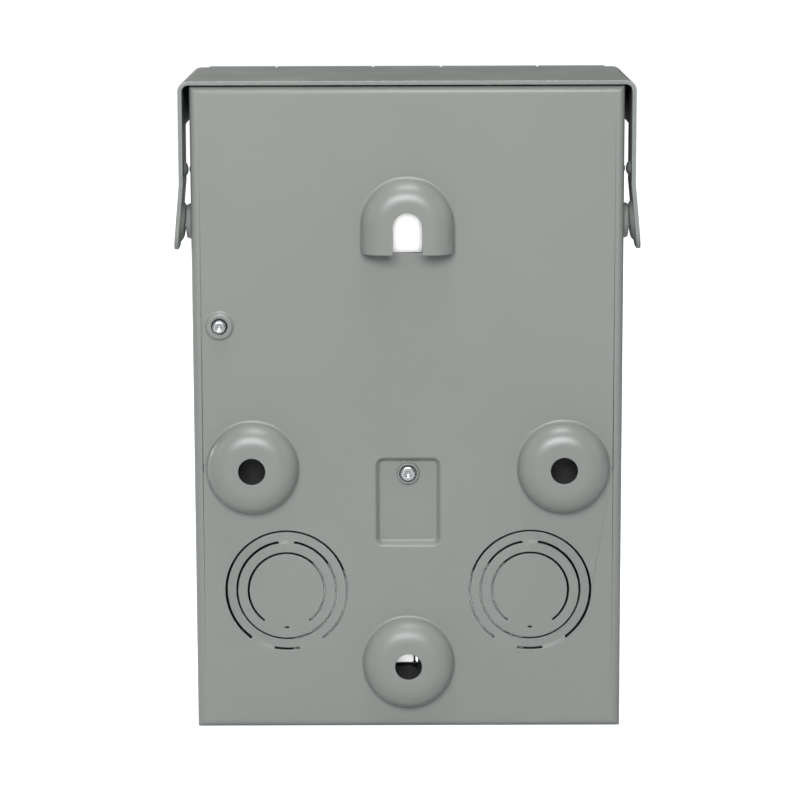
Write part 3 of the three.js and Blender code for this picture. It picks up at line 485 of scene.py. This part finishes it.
round_edges(bm, edges_where(bm, lambda co: abs(co.y - back) < 1e-6), bend, 7)
folds = [edge for edge in edges_where(bm, lambda co: abs(co.y - front) < 1e-6) if len(edge.link_faces) == 2]
round_edges(bm, folds, 1.5, 4)

boss_base, boss_top, boss_hole, root = 13.25, 6.6, 3.9, 0.8
boss_profile = (arc(boss_base + root, root, root, root, -90, -180, 5)
                + arc(boss_top, root, boss_base - boss_top, boss_height - root, 0, 90, 16)[1:])
sideways = Vector((1, 0, 0))
boss_places = [(-45, 110.2), (45, 110.2), (0, 168.2)]
rims = [press(bm, boss_profile + [(boss_hole, boss_height)], at(x, 0, drop), to_wall, sideways)
        for x, drop in boss_places]

hanger_drop, hanger_length, slot_half = 39.7, 7.9, 4.2
hanger = at(0, 0, hanger_drop)
hanger_profile = [(boss_base + root + collar_width, 0)] + boss_profile + [(slot_half, boss_height)]
made = spin_profile(bm, hanger_profile, hanger, to_wall, sideways, math.pi, 56)
ends = [edge for edge in made if all(abs(vert.co.z - hanger.z) < 1e-7 for vert in edge.verts)]
far = push_edges(bm, ends, down * (hanger_length * mm))
made += [edge for vert in far for edge in vert.link_edges]
mouth = sorted((vert for vert in far if abs(vert.co.y - back) < 1e-7), key=lambda vert: abs(vert.co.x))[:2]
shear = bm.edges.new(mouth)
rims.append({edge for edge in made if edge.is_boundary
             and all(abs(vert.co.y - back) < 1e-7 for vert in edge.verts)} | {shear})

earth_x, earth_drop = 54.1, 68.7
screw_boss = [(4.35, 0), (4.08, 0.1), (3.9, 0.35), (3.75, 0.75), (3.45, 0.97), (3.1, 1.0), (2.3, 1.0)]
rims.append(press(bm, screw_boss, at(earth_x, 0, earth_drop), to_wall, sideways))

knockout_radii = [17.6, 14.45, 11.1]
knockout_ties = [[(13, 35)], [(172, 181)], [(4, 36)]]
knockout_spread, knockout_drop = 35.5, 146.7
ring_lean = math.radians(1.5)
for side in (-1, 1):
    place = at(side * knockout_spread, 0, knockout_drop)
    rims.append(slit_rings(bm, knockout_radii, knockout_ties, place, to_wall, down, side * ring_lean))

recess_half, recess_top, recess_bottom, recess_depth = 9.9, 106.9, 133.9, 2
recess_corners = [at(recess_half, 0, recess_top), at(-recess_half, 0, recess_top),
                  at(-recess_half, 0, recess_bottom), at(recess_half, 0, recess_bottom)]
recess = rounded_face(bm, recess_corners, 2.7, to_wall)
rim, well = press_field(bm, recess, 1.75, -recess_depth)
rims.append(rim)
base_screw_drop = 112.2
well_boss = [(3.42, 0), (3.3, 0.12), (3.22, 0.5), (3.12, 0.95), (2.95, 1.15), (2.6, 1.2)]
refill(bm, well, [press(bm, well_boss, at(0, recess_depth, base_screw_drop), to_wall, sideways)])
refill(bm, face_towards(bm, to_wall), rims)

emboss_depth, emboss_drop, stud_drop = 8, 39.2, 24.2
emboss = [(5.55, 0), (5.3, 0.12), (5.12, 0.45), (4.98, 1.05), (4.8, 1.38), (4.5, 1.5), (2.2, 1.5)]
stud = [(1.7, 0), (1.5, 0.08), (0.95, 0.42), (0.5, 0.58), (0, 0.6)]
for side in (-1, 1):
    out = Vector((side, 0, 0))
    wall = face_towards(bm, out)
    holes = [press(bm, emboss, at(side * half_width, emboss_depth, emboss_drop), out, to_wall),
             press(bm, stud, at(side * half_width, emboss_depth, stud_drop), out, to_wall)]
    refill(bm, wall, holes)

floor_face = face_towards(bm, down)
conduit_place = at(0, pan_depth / 2 - 3, pan_height)
conduit = slit_rings(bm, knockout_radii[1:], knockout_ties[1:], conduit_place, down, to_wall)
rivet_x, rivet_depth = -11, 50
rivet_place = at(rivet_x, rivet_depth, pan_height)
rivet_hole = bmesh.ops.create_circle(bm, segments=32, radius=2.2 * mm,
                                     matrix=Matrix.Translation(rivet_place))["verts"]
refill(bm, floor_face, [conduit, {edge for vert in rivet_hole for edge in vert.link_edges}])

pan = add_piece("folded_pan", bm, enamel, "box", "grey_enamel", "enclosure_body")
give_gauge(pan, sheet)
soften(pan, sheared_edge)

# ---- Rain hood ----
# A cap of the same sheet over the pan's top: a flat roof, short cheeks and a front lip. Two ears run on
# down the sides at the back, sprung out a little, each with a pip that keeps it off the pan's wall and
# a cone that bears on the wall's emboss, where a rivet goes through both.
hood_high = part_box("rain_hood")[1]
roof_drop = -(hood_high.z - top) / mm
hood_half = 65.2
hood_reach = 62
cheek_drop, ear_bend_drop, ear_drop, ear_depth = 12, 28, 47, 16
ear_spread = hood_high.x / mm - hood_half

bm = bmesh.new()
box_between(bm, at(-hood_half, hood_reach, cheek_drop), at(hood_half, 0, roof_drop))
open_sides = [face_towards(bm, to_wall), face_towards(bm, down)]
bmesh.ops.delete(bm, geom=open_sides, context="FACES_ONLY")
bmesh.ops.delete(bm, geom=[edge for edge in bm.edges if not edge.link_faces], context="EDGES")
for side in (-1, 1):
    sill = edges_where(bm, lambda co: abs(co.x - side * hood_half * mm) < 1e-6
                       and abs(co.z - at(0, 0, cheek_drop).z) < 1e-6)[0]
    rear = max(sill.verts, key=lambda vert: vert.co.y)
    bmesh.utils.edge_split(sill, rear, ear_depth / hood_reach)
    hem = next(edge for edge in rear.link_edges
               if all(abs(vert.co.z - at(0, 0, cheek_drop).z) < 1e-6 for vert in edge.verts))
    far = push_edges(bm, [hem], down * ((ear_bend_drop - cheek_drop) * mm))
    hem = next(edge for edge in far[0].link_edges if far[1] in edge.verts)
    push_edges(bm, [hem], down * ((ear_drop - ear_bend_drop) * mm) + Vector((side * ear_spread * mm, 0, 0)))
roof_edges = edges_where(bm, lambda co: abs(co.z - hood_high.z) < 1e-6)
round_edges(bm, [edge for edge in roof_edges if abs(edge.verts[0].co.x - edge.verts[1].co.x) < 1e-6], 3, 8)
front_edges = [edge for edge in edges_where(bm, lambda co: abs(co.y - at(0, hood_reach, 0).y) < 1e-6)
               if len(edge.link_faces) == 2]
round_edges(bm, front_edges, 1.2, 4)
tips = [vert for vert in bm.verts if abs(vert.co.z - at(0, 0, ear_drop).z) < 1e-6]
bmesh.ops.bevel(bm, geom=tips, offset=5 * mm, segments=8, profile=0.5, affect="VERTICES", material=-1)

lean = math.atan2(ear_spread, ear_drop - ear_bend_drop)
pip = [(1.95, 0), (1.75, -0.12), (1.3, -0.6), (0.85, -1.0), (0.4, -1.17), (0, -1.2)]
cone = [(6.1, 0), (5.8, -0.1), (5.3, -0.4), (4.5, -1.05), (4.15, -1.2), (3.8, -1.26), (2.2, -1.26)]
for side in (-1, 1):
    out = Vector((side, 0, 0))
    ear_out = Vector((side * math.cos(lean), 0, math.sin(lean)))
    bm.normal_update()
    shanks = [face for face in bm.faces if abs(face.calc_center_median().x - side * hood_half * mm) < 1e-5
              and face.calc_center_median().z < at(0, 0, cheek_drop).z]
    shank = min(shanks, key=lambda face: face.calc_area())
    refill(bm, shank, [press(bm, pip, at(side * hood_half, emboss_depth, stud_drop), out, to_wall)])
    mid_flap = at(side * (hood_half + ear_spread / 2), emboss_depth, (ear_bend_drop + ear_drop) / 2)
    flap = min(bm.faces, key=lambda face: (face.calc_center_median() - mid_flap).length)
    share = (emboss_drop - ear_bend_drop) / (ear_drop - ear_bend_drop)
    seat = at(side * (hood_half + ear_spread * share), emboss_depth, emboss_drop)
    refill(bm, flap, [press(bm, cone, seat, ear_out, to_wall)])

hood = add_piece("rain_hood_cap", bm, enamel, "box", "grey_enamel", "rain_hood")
give_gauge(hood, sheet)
soften(hood, sheared_edge)

# ---- Hinge barrels and pin ----
# The roof's front edge and the door's top edge are cut into tongues, and each tongue is rolled round
# the same 3 mm zinc-plated steel pin. The pin is held in by the outer barrels.
pin_depth, pin_drop, barrel_radius = 65.6, 1.5, 3


def roll_tongue(bm, x0, x1, lead, start):
    """A tongue of sheet that runs along its lead and then three hundred degrees round the pin."""
    wrap, steps = 300, 40
    turn = [math.radians(start + wrap * i / steps) for i in range(steps + 1)]
    path = lead + [(pin_depth + barrel_radius * math.sin(angle), pin_drop - barrel_radius * math.cos(angle))
                   for angle in turn]
    points = [bm.verts.new(at(x0, depth, drop)) for depth, drop in path]
    lines = [bm.edges.new(pair) for pair in zip(points, points[1:])]
    push_edges(bm, lines, Vector(((x1 - x0) * mm, 0, 0)))


def point_outwards(piece):
    """Turns the faces of rolled tongues away from the pin, so that the sheet's gauge goes towards it."""
    axis = at(0, pin_depth, pin_drop)
    for polygon in piece.data.polygons:
        away = (polygon.center - axis) * Vector((0, 1, 1))
        if polygon.normal.dot(away) < 0:
            polygon.flip()


roof_tongues = [(-60, -40), (-10, 10), (40, 60)]
door_tongues = [(-39.4, -10.6), (10.6, 39.4)]
bm = bmesh.new()
for x0, x1 in roof_tongues:
    roll_tongue(bm, x0, x1, [(hood_reach - 0.4, roof_drop)], 0)
barrels = add_piece("roof_barrels", bm, enamel, "box", "grey_enamel")
point_outwards(barrels)
give_gauge(barrels, sheet)
soften(barrels, 0.15)

door_top = 4.8
door_back = 62.6
bm = bmesh.new()
for x0, x1 in door_tongues:
    roll_tongue(bm, x0, x1, [(door_back, door_top + 0.2)], -90)
barrels = add_piece("door_barrels", bm, enamel, "door_body", "grey_enamel")
point_outwards(barrels)
give_gauge(barrels, sheet)
soften(barrels, 0.15)

zinc = make_finish("zinc_plate", (0.52, 0.53, 0.55), 0.28, 0.92, tone=0.12, fine=2600, coarse=180,
                   relief=0.004, bare=(0.3, 0.29, 0.27), breakup=900)
bm = bmesh.new()
pin_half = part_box("door_hinge_pin")[1].x / mm
spin_profile(bm, [(0, -pin_half), (1.1, -pin_half), (1.5, -pin_half + 0.5), (1.5, pin_half - 0.5),
                  (1.1, pin_half), (0, pin_half)], at(0, pin_depth, pin_drop), sideways, to_wall, steps=48)
pin = add_piece("hinge_pin", bm, zinc, "box", "zinc", "door_hinge_pin")
soften(pin, 0.12)

# ---- Door ----
# A flat door of the same sheet with a raised field that stiffens it and folded side skirts that lap
# over the pan. A slot lets the hasp through, and its top edge carries the rolled hinge tongues.
door_half, door_front, door_bottom, skirt_top, skirt_back = 63.8, 63.8, 187.4, 13.5, 50.6
forward = -to_wall
bm = bmesh.new()
panel = bm.faces.new([bm.verts.new(at(x, door_front, drop)) for x, drop in
                      ((-door_half, door_bottom), (door_half, door_bottom), (door_half, skirt_top),
                       (door_half, door_top), (-door_half, door_top), (-door_half, skirt_top))])
skirts = [edge for edge in panel.edges if abs(edge.verts[0].co.x - edge.verts[1].co.x) < 1e-6
          and min(vert.co.z for vert in edge.verts) < at(0, 0, skirt_top + 1).z]
push_edges(bm, skirts, to_wall * ((door_front - skirt_back) * mm))
round_edges(bm, skirts, 1.6, 5)
panel = face_towards(bm, forward)
field_half, field_top, field_bottom = 44, 34, 150
field_corners = [at(-field_half, door_front, field_top), at(field_half, door_front, field_top),
                 at(field_half, door_front, field_bottom), at(-field_half, door_front, field_bottom)]
field = rounded_face(bm, field_corners, 5, forward)
rim, _ = press_field(bm, field, 2.4, 1.6)
door_slot_half = 1.6
slot_left, slot_right, slot_top, slot_bottom = hasp_x - door_slot_half, hasp_x + door_slot_half, 161.5, 185
slot_corners = [at(slot_left, door_front, slot_top), at(slot_right, door_front, slot_top),
                at(slot_right, door_front, slot_bottom), at(slot_left, door_front, slot_bottom)]
slot_face = rounded_face(bm, slot_corners, 0.8, forward)
slot_rim = list(slot_face.edges)
bmesh.ops.delete(bm, geom=[slot_face], context="FACES_ONLY")
refill(bm, panel, [rim, slot_rim])
door = add_piece("door_panel", bm, enamel, "door_body", "grey_enamel", "door")
give_gauge(door, sheet)
soften(door, sheared_edge)

# ---- Door label ----
# A blank white paper label with ruled rows, stuck inside the door where the installer writes on it.


def make_paper():
    """Matt white stock with faint fibres and grey ruled rows."""
    material = bpy.data.materials.new("label_paper")
    material.use_nodes = True
    tree = material.node_tree
    shader = tree.nodes["Principled BSDF"]
    shader.inputs["Specular IOR Level"].default_value = 0.3
    place = wired(tree, "ShaderNodeTexCoord").outputs["Object"]
    fibre = wired(tree, "ShaderNodeGroup", node_tree=grain, values={"Fine": 3200, "Coarse": 70},
                  links={"Position": place})
    stock = blended(tree, fibre.outputs["Tone"], (0.86, 0.86, 0.84), (0.93, 0.93, 0.92))
    split = wired(tree, "ShaderNodeSeparateXYZ", links={0: place})
    rows = wired(tree, "ShaderNodeMath", {1: 0.009}, {0: split.outputs["Z"]}, operation="MODULO")
    row = wired(tree, "ShaderNodeMath", {1: 0.00035}, {0: rows.outputs[0]}, operation="LESS_THAN")
    across = wired(tree, "ShaderNodeMath", links={0: split.outputs["X"]}, operation="ABSOLUTE")
    inside = wired(tree, "ShaderNodeMath", {1: 0.031}, {0: across.outputs[0]}, operation="LESS_THAN")
    height = wired(tree, "ShaderNodeMath", {1: 0.09, 2: 0.0365}, {0: split.outputs["Z"]},
                   operation="COMPARE")
    ruled = wired(tree, "ShaderNodeMath", links={0: row.outputs[0], 1: inside.outputs[0]},
                  operation="MULTIPLY")
    ruled = wired(tree, "ShaderNodeMath", links={0: ruled.outputs[0], 1: height.outputs[0]},
                  operation="MULTIPLY")
    printed = blended(tree, ruled.outputs[0], stock, (0.3, 0.31, 0.32))
    gloss = wired(tree, "ShaderNodeMapRange", {"To Min": 0.55, "To Max": 0.7},
                  {"Value": fibre.outputs["Tone"]})
    bumps = wired(tree, "ShaderNodeBump", {"Distance": 0.01 * mm}, {"Height": fibre.outputs["Height"]})
    tree.links.new(printed, shader.inputs["Base Color"])
    tree.links.new(gloss.outputs["Result"], shader.inputs["Roughness"])
    tree.links.new(bumps.outputs["Normal"], shader.inputs["Normal"])
    return material


def blank_out(bm, corners, push, radius=0, holes=(), windows=()):
    """A flat blank with rounded corners, round holes (centre, radius) and corner-rounded windows."""
    old = set(bm.faces)
    if radius:
        rounded_face(bm, corners, radius, push)
    else:
        bm.faces.new([bm.verts.new(corner) for corner in corners])
    blank = next(face for face in bm.faces if face not in old)
    blank.normal_update()
    rims = []
    turned = push.to_track_quat("Z", "Y").to_matrix().to_4x4()
    for centre, hole in holes:
        verts = bmesh.ops.create_circle(bm, segments=48, radius=hole * mm,
                                        matrix=Matrix.Translation(centre) @ turned)["verts"]
        rims.append({edge for vert in verts for edge in vert.link_edges})
    for window in windows:
        cut = rounded_face(bm, window, 1, push)
        rims.append(list(cut.edges))
        bmesh.ops.delete(bm, geom=[cut], context="FACES_ONLY")
    if rims:
        refill(bm, blank, rims)
    made = [face for face in bm.faces if face not in old]
    moved = bmesh.ops.extrude_face_region(bm, geom=made, use_keep_orig=True)["geom"]
    bmesh.ops.translate(bm, verts=[item for item in moved if isinstance(item, bmesh.types.BMVert)], vec=push)


label_low, label_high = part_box("door_label")
label_top = (top - label_high.z) / mm
label_bottom = (top - label_low.z) / mm
label_half = label_high.x / mm
bm = bmesh.new()
label_back = door_back - 0.3
notch = 2.2
notch_top = slot_top - 1.5
label_outline = [(label_half, label_top), (-label_half, label_top), (-label_half, label_bottom),
                 (hasp_x - notch, label_bottom), (hasp_x - notch, notch_top), (hasp_x + notch, notch_top),
                 (hasp_x + notch, label_bottom), (label_half, label_bottom)]
blank_out(bm, [at(x, label_back, drop) for x, drop in label_outline], to_wall * (-0.25 * mm), 1)
label = add_piece("label_sheet", bm, make_paper(), "door_body", "label_paper", "door_label")
soften(label, 0.05, clamped=True, plate=True)
inside.objects.link(label)

# ---- Hasp ----
# A zinc-plated steel tab that stands out through the door's slot and takes a padlock in its eye. Its
# foot is folded flat on the pan's floor and held by one rivet.
hasp_gauge = 1.6
eye_depth, eye_drop = 71, 173
floor_drop = pan_height - sheet - 0.3
leaf_right = hasp_x - hasp_gauge / 2
bm = bmesh.new()
blank_out(bm, [at(leaf_right, depth, drop) for depth, drop in
               ((44, floor_drop), (44, 176), (58, 166), (60, 164), (78, 164), (78, 182), (57.8, 182),
                (57.8, floor_drop))],
          Vector((hasp_gauge * mm, 0, 0)), 1.2, [(at(leaf_right, eye_depth, eye_drop), 4.2)])
blank_out(bm, [at(x, depth, floor_drop) for x, depth in
               ((leaf_right + 0.2, 44), (leaf_right + 0.2, 56), (-16.8, 56), (-16.8, 44))],
          Vector((0, 0, hasp_gauge * mm)), 2, [(at(rivet_x, rivet_depth, floor_drop), 2.1)])
hasp = add_piece("hasp_tab", bm, zinc, "box", "zinc", "padlock_hasp")
soften(hasp, 0.2, clamped=True, plate=True)

# ---- Rivets ----
# Zinc-plated semi-tubular rivets: a low domed head outside, a plain shank, and a rolled tail inside.


def set_rivet(name, profile, centre, out, start, node):
    bm = bmesh.new()
    spin_profile(bm, profile, centre, out, start, steps=64)
    rivet = add_piece(name, bm, zinc, "box", "zinc", node)
    soften(rivet, 0.08)


for side, name in ((-1, "right"), (1, "left")):
    node = f"hood_rivet_{name}"
    low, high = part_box(node)
    inner, outer = sorted(abs(value) / mm for value in (low.x, high.x))
    tail = [(0, inner + 0.7), (1.1, inner + 0.5), (1.5, inner), (2.6, inner), (3.1, inner + 0.4),
            (3.2, inner + 0.9), (2.9, inner + 1.15), (1.9, inner + 1.2)]
    head = [(1.9, outer - 1.3), (3.3, outer - 1.3)] + arc(0, outer - 1.35, 3.3, 1.35, 10, 90, 8)
    set_rivet(f"ear_rivet_{name}", tail + head, at(0, emboss_depth, emboss_drop), Vector((side, 0, 0)),
              to_wall, node)
low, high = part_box("hasp_rivet")
seat = (low.z - pan_low.z) / mm
crown = (high.z - pan_low.z) / mm
foot_profile = ([(0, seat), (1.9, seat), (1.9, crown - 1.5), (3.3, crown - 1.5)]
                + arc(0, crown - 1.5, 3.3, 1.5, 12, 90, 8))
set_rivet("foot_rivet", foot_profile, rivet_place, -down, to_wall, "hasp_rivet")

# ---- Switch mouldings ----
# The base, the switch's case and its cover are hot-pressed black thermoset: hard, semi-matt, with a
# fine moulded texture and crisp edges. The rotor and the toggle are dark grey glass-filled nylon.
black_moulding = make_finish("black_moulding", (0.016, 0.017, 0.018), 0.46, tone=0.2, fine=2600, coarse=90,
                             relief=0.01, bare=(0.045, 0.045, 0.045), dusty=0.05)
grey_moulding = make_finish("grey_moulding", (0.052, 0.056, 0.06), 0.42, tone=0.14, fine=3000, coarse=110,
                            relief=0.008, bare=(0.12, 0.12, 0.125), dusty=0.05)


def finish_node(node, material, radius):
    """Gives a node its finish and breaks its sharp edges."""
    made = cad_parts[node]
    made.data.materials.clear()
    made.data.materials.append(material)
    joined = made.modifiers.new("joined_faces", "WELD")
    joined.merge_threshold = 0.002 * mm
    soften(made, radius, clamped=True)


for node in ("switch_base", "switch_case", "switch_cover"):
    finish_node(node, black_moulding, 0.3)
finish_node("contact_rotor", grey_moulding, 0.2)

# ---- Dead front ----
# A dark grey moulded plate over the live parts, held by two screws. It has a raised collar round the
# toggle and four holes for reaching the lug screws; a bar and a ring by the collar mark on and off.
plate_back, plate_front = 50, 51.6
switch_drop = 96
deadfront_half, deadfront_top, deadfront_bottom = 46, 56, 150
lug_x, line_drop, load_drop = 14, 60.2, 131.8
screw_places = [(-38, 64), (38, 118)]


def rectangle(half, upper, lower, depth):
    return [at(half, depth, upper), at(-half, depth, upper), at(-half, depth, lower), at(half, depth, lower)]


bm = bmesh.new()
holes = [(at(side * lug_x, plate_back, drop), 4.2) for side in (-1, 1) for drop in (line_drop, load_drop)]
holes += [(at(x, plate_back, drop), 1.8) for x, drop in screw_places]
window_half, window_reach = 6.5, 11.5
window = rectangle(window_half, switch_drop - window_reach, switch_drop + window_reach, plate_back)
blank_out(bm, rectangle(deadfront_half, deadfront_top, deadfront_bottom, plate_back),
          forward * ((plate_front - plate_back) * mm), 3, holes, [window])
collar_back = plate_front - 0.1
collar_half, collar_reach, collar_rise = 9, 14, 1.3
blank_out(bm, rectangle(collar_half, switch_drop - collar_reach, switch_drop + collar_reach, collar_back),
          forward * (collar_rise * mm), 2, [],
          [rectangle(window_half, switch_drop - window_reach, switch_drop + window_reach, collar_back)])
for x, drop in [(side * lug_x, drop) for side in (-1, 1) for drop in (line_drop, load_drop)]:
    spin_profile(bm, [(4.25, 0), (5.6, 0), (5.5, 0.45), (5.2, 0.6), (4.6, 0.6), (4.25, 0.4), (4.25, 0)],
                 at(x, collar_back, drop), forward, sideways, steps=48)
bar = rectangle(0.45, switch_drop - 20.5, switch_drop - 17, collar_back)
blank_out(bm, bar, forward * (0.5 * mm))
spin_profile(bm, [(1.15, 0), (1.15, 0.5), (1.85, 0.5), (1.85, 0), (1.15, 0)],
             at(0, collar_back, switch_drop + 18.8), forward, sideways, steps=40)
deadfront = add_piece("dead_front_plate", bm, grey_moulding, "box", "grey_moulding", "dead_front")
soften(deadfront, 0.25, clamped=True, plate=True)

# ---- Toggle ----
# The handle is one moulding: a round hub on its steel pin and a flattened lever with ribs for the
# fingers, laid up in the on position. It turns in the steel cradle under the cover.
toggle_depth = (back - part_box("toggle_pin")[0].y) / mm - 1.5
hub_half, hub_radius, lever_length = 5, 4.4, 19
tilt = math.radians(22)
bm = bmesh.new()
hub = at(0, toggle_depth, switch_drop)
hub_profile = [(1.8, -hub_half), (hub_radius - 0.4, -hub_half), (hub_radius, -hub_half + 0.4),
               (hub_radius, hub_half - 0.4), (hub_radius - 0.4, hub_half), (1.8, hub_half),
               (1.8, -hub_half)]
spin_profile(bm, hub_profile, hub, sideways, to_wall, steps=72)
old = set(bm.verts)
box_between(bm, at(-hub_half + 0.6, toggle_depth + lever_length, switch_drop + 3.4),
            at(hub_half - 0.6, toggle_depth + 2.2, switch_drop - 3.4))
lever = [vert for vert in bm.verts if vert not in old]
tip = [vert for vert in lever if vert.co.y < at(0, toggle_depth + lever_length / 2, 0).y]
bmesh.ops.scale(bm, verts=tip, vec=(0.94, 1, 0.64), space=Matrix.Translation(-at(0, 0, switch_drop)))
lever_edges = {edge for vert in lever for edge in vert.link_edges}
bmesh.ops.bevel(bm, geom=list(lever_edges), offset=1.3 * mm, segments=5, profile=0.5, affect="EDGES",
                material=-1)
first_rib, rib_pitch = 3.2, 1.9
for rib in range(4):
    reach = toggle_depth + lever_length - first_rib - rib * rib_pitch
    half_thick = 2.17 + 0.085 * (lever_length - (reach - toggle_depth))
    for face in (-1, 1):
        spin_profile(bm, [(0, -3.5), (0.32, -3.4), (0.42, -3.0), (0.42, 3.0), (0.32, 3.4), (0, 3.5)],
                     at(0, reach, switch_drop + face * half_thick), sideways, to_wall, steps=16)
bmesh.ops.rotate(bm, verts=bm.verts, cent=hub, matrix=Matrix.Rotation(-tilt, 3, "X"))
toggle = add_piece("toggle_handle", bm, grey_moulding, "toggle_body", "grey_moulding", "switch_toggle")
soften(toggle, 0.1)
finish_node("mechanism_frame", zinc, 0.12)
finish_node("toggle_pin", zinc, 0.1)

# ---- Contacts and straps ----
# Half-hard copper strip, sheared and pierced, with fine drawing lines along it and a dull brown film
# from handling. The bridging arms carry a contact tip at each end.
copper = make_finish("copper", (0.62, 0.3, 0.18), 0.3, 1.0, tone=0.16, fine=900, coarse=120, relief=0.003,
                     stretch=(6, 1, 0.35), bare=(0.75, 0.42, 0.28))
for side in ("left", "right"):
    for node in ("contact_arm", "line_strap", "load_strap"):
        finish_node(f"{node}_{side}", copper, 0.18)

# ---- Lugs and their screws ----
# Each terminal is a slice of extruded, tin-plated aluminium with a round wire way and a socket set
# screw. The extrusion leaves fine lines along the wire way, and the saw a frosted face.
aluminium = make_finish("tinned_aluminium", (0.56, 0.57, 0.58), 0.34, 0.95, tone=0.1, fine=1300, coarse=150,
                        relief=0.005, stretch=(5, 5, 0.4), bare=(0.72, 0.72, 0.72))


def carve(bm, tool):
    """Cuts one closed shape out of another and returns what is left."""
    shapes = []
    for name, shape in (("stock", bm), ("tool", tool)):
        bmesh.ops.remove_doubles(shape, verts=shape.verts, dist=1e-7)
        bmesh.ops.recalc_face_normals(shape, faces=shape.faces)
        mesh = bpy.data.meshes.new(name)
        shape.to_mesh(mesh)
        shape.free()
        shapes.append(bpy.data.objects.new(name, mesh))
        bpy.context.scene.collection.objects.link(shapes[-1])
    stock, cutter = shapes
    cut = stock.modifiers.new("cut", "BOOLEAN")
    cut.operation = "DIFFERENCE"
    cut.solver = "EXACT"
    cut.object = cutter
    bpy.context.view_layer.update()
    left = stock.evaluated_get(bpy.context.evaluated_depsgraph_get()).to_mesh()
    result = bmesh.new()
    result.from_mesh(left)
    for shape in shapes:
        bpy.data.objects.remove(shape)
    return result


for row in ("line", "load"):
    for side in ("left", "right"):
        finish_node(f"{row}_lug_{side}", aluminium, 0.35)
        node = f"{row}_lug_screw_{side}"
        low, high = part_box(node)
        centre = Vector(((low.x + high.x) / 2, 0, (low.z + high.z) / 2))
        tip, face = high.y / mm, low.y / mm
        thread = [(2.72 + 0.28 * (i % 2), tip - 0.5 - i * 0.5) for i in range(int((tip - face - 1.4) / 0.5))]
        bm = bmesh.new()
        spin_profile(bm, [(0, tip), (1.9, tip), (2.6, tip - 0.4)] + thread
                     + [(3, face + 0.7), (2.6, face), (0, face)], centre, to_wall, sideways, steps=32)
        socket = bmesh.new()
        mouth = Matrix.Translation(centre + to_wall * (face * mm))
        bmesh.ops.create_cone(socket, cap_ends=True, segments=6, radius1=1.7 * mm, radius2=1.7 * mm,
                              depth=5.2 * mm, matrix=mouth @ Matrix.Rotation(math.pi / 2, 4, "X"))
        screw = add_piece(f"{row}_set_screw_{side}", carve(bm, socket), zinc, "box", "zinc", node)
        soften(screw, 0.06)

# ---- Machine screws ----
# Zinc-plated pan-head machine screws with one driver slot, cut threads and a dimpled end. Two of them
# come through the back: one holds the base, the other the earth bar.


def drive_screw(name, node, head_radius, head_height, shank, slot_width=1.0):
    """Turns a screw inside its node's box: dimpled tip, threaded shank, pan head, driver slot."""
    low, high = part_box(node)
    centre = Vector(((low.x + high.x) / 2, 0, (low.z + high.z) / 2))
    tip, face = high.y / mm, low.y / mm
    under = face + head_height
    pitch = 0.5
    turns = int((tip - under - 1.2) / pitch)
    thread = [(shank - 0.26 * (i % 2), tip - 0.75 - i * pitch) for i in range(turns)]
    profile = ([(0, tip - 0.75), (0.55, tip - 0.6), (0.95, tip - 0.06), (1.15, tip), (shank - 0.55, tip),
                (shank - 0.3, tip - 0.12)] + thread + [(shank, under + 0.1), (head_radius, under)]
               + [(head_radius, under - 0.5)]
               + arc(0, face + 0.9, head_radius, 0.9, 0, -90, 8))
    bm = bmesh.new()
    spin_profile(bm, profile, centre, to_wall, sideways, steps=32)
    slot = bmesh.new()
    reach = Vector(((head_radius + 1) * mm, 0.9 * mm, slot_width / 2 * mm))
    head = centre + to_wall * (face * mm)
    box_between(slot, head - reach, head + reach)
    stopped_at = Matrix.Rotation(centre.x * 40 + centre.z * 31, 3, "Y")
    bmesh.ops.rotate(slot, verts=slot.verts, cent=head, matrix=stopped_at)
    screw = add_piece(name, carve(bm, slot), zinc, "box", "zinc", node)
    soften(screw, 0.05)


for end in ("top", "bottom"):
    for side in ("left", "right"):
        drive_screw(f"case_long_screw_{end}_{side}", f"case_screw_{end}_{side}", 3, 1.9, 1.6)
for number in (1, 2):
    drive_screw(f"plate_screw_{number}", f"dead_front_screw_{number}", 3.2, 2, 1.5)
    drive_screw(f"terminal_screw_{number}", f"earth_terminal_screw_{number}", 3.3, 2, 2.1)
drive_screw("base_screw", "base_mounting_screw", 3.6, 2.2, 2.3)
drive_screw("earth_screw", "earth_bar_screw", 3.9, 2.2, 2)

# ---- Earth bar ----
# A short extruded aluminium bar screwed to the back panel, with two cross-drilled wire holes and a
# terminal screw over each.
finish_node("earth_bar", aluminium, 0.4)
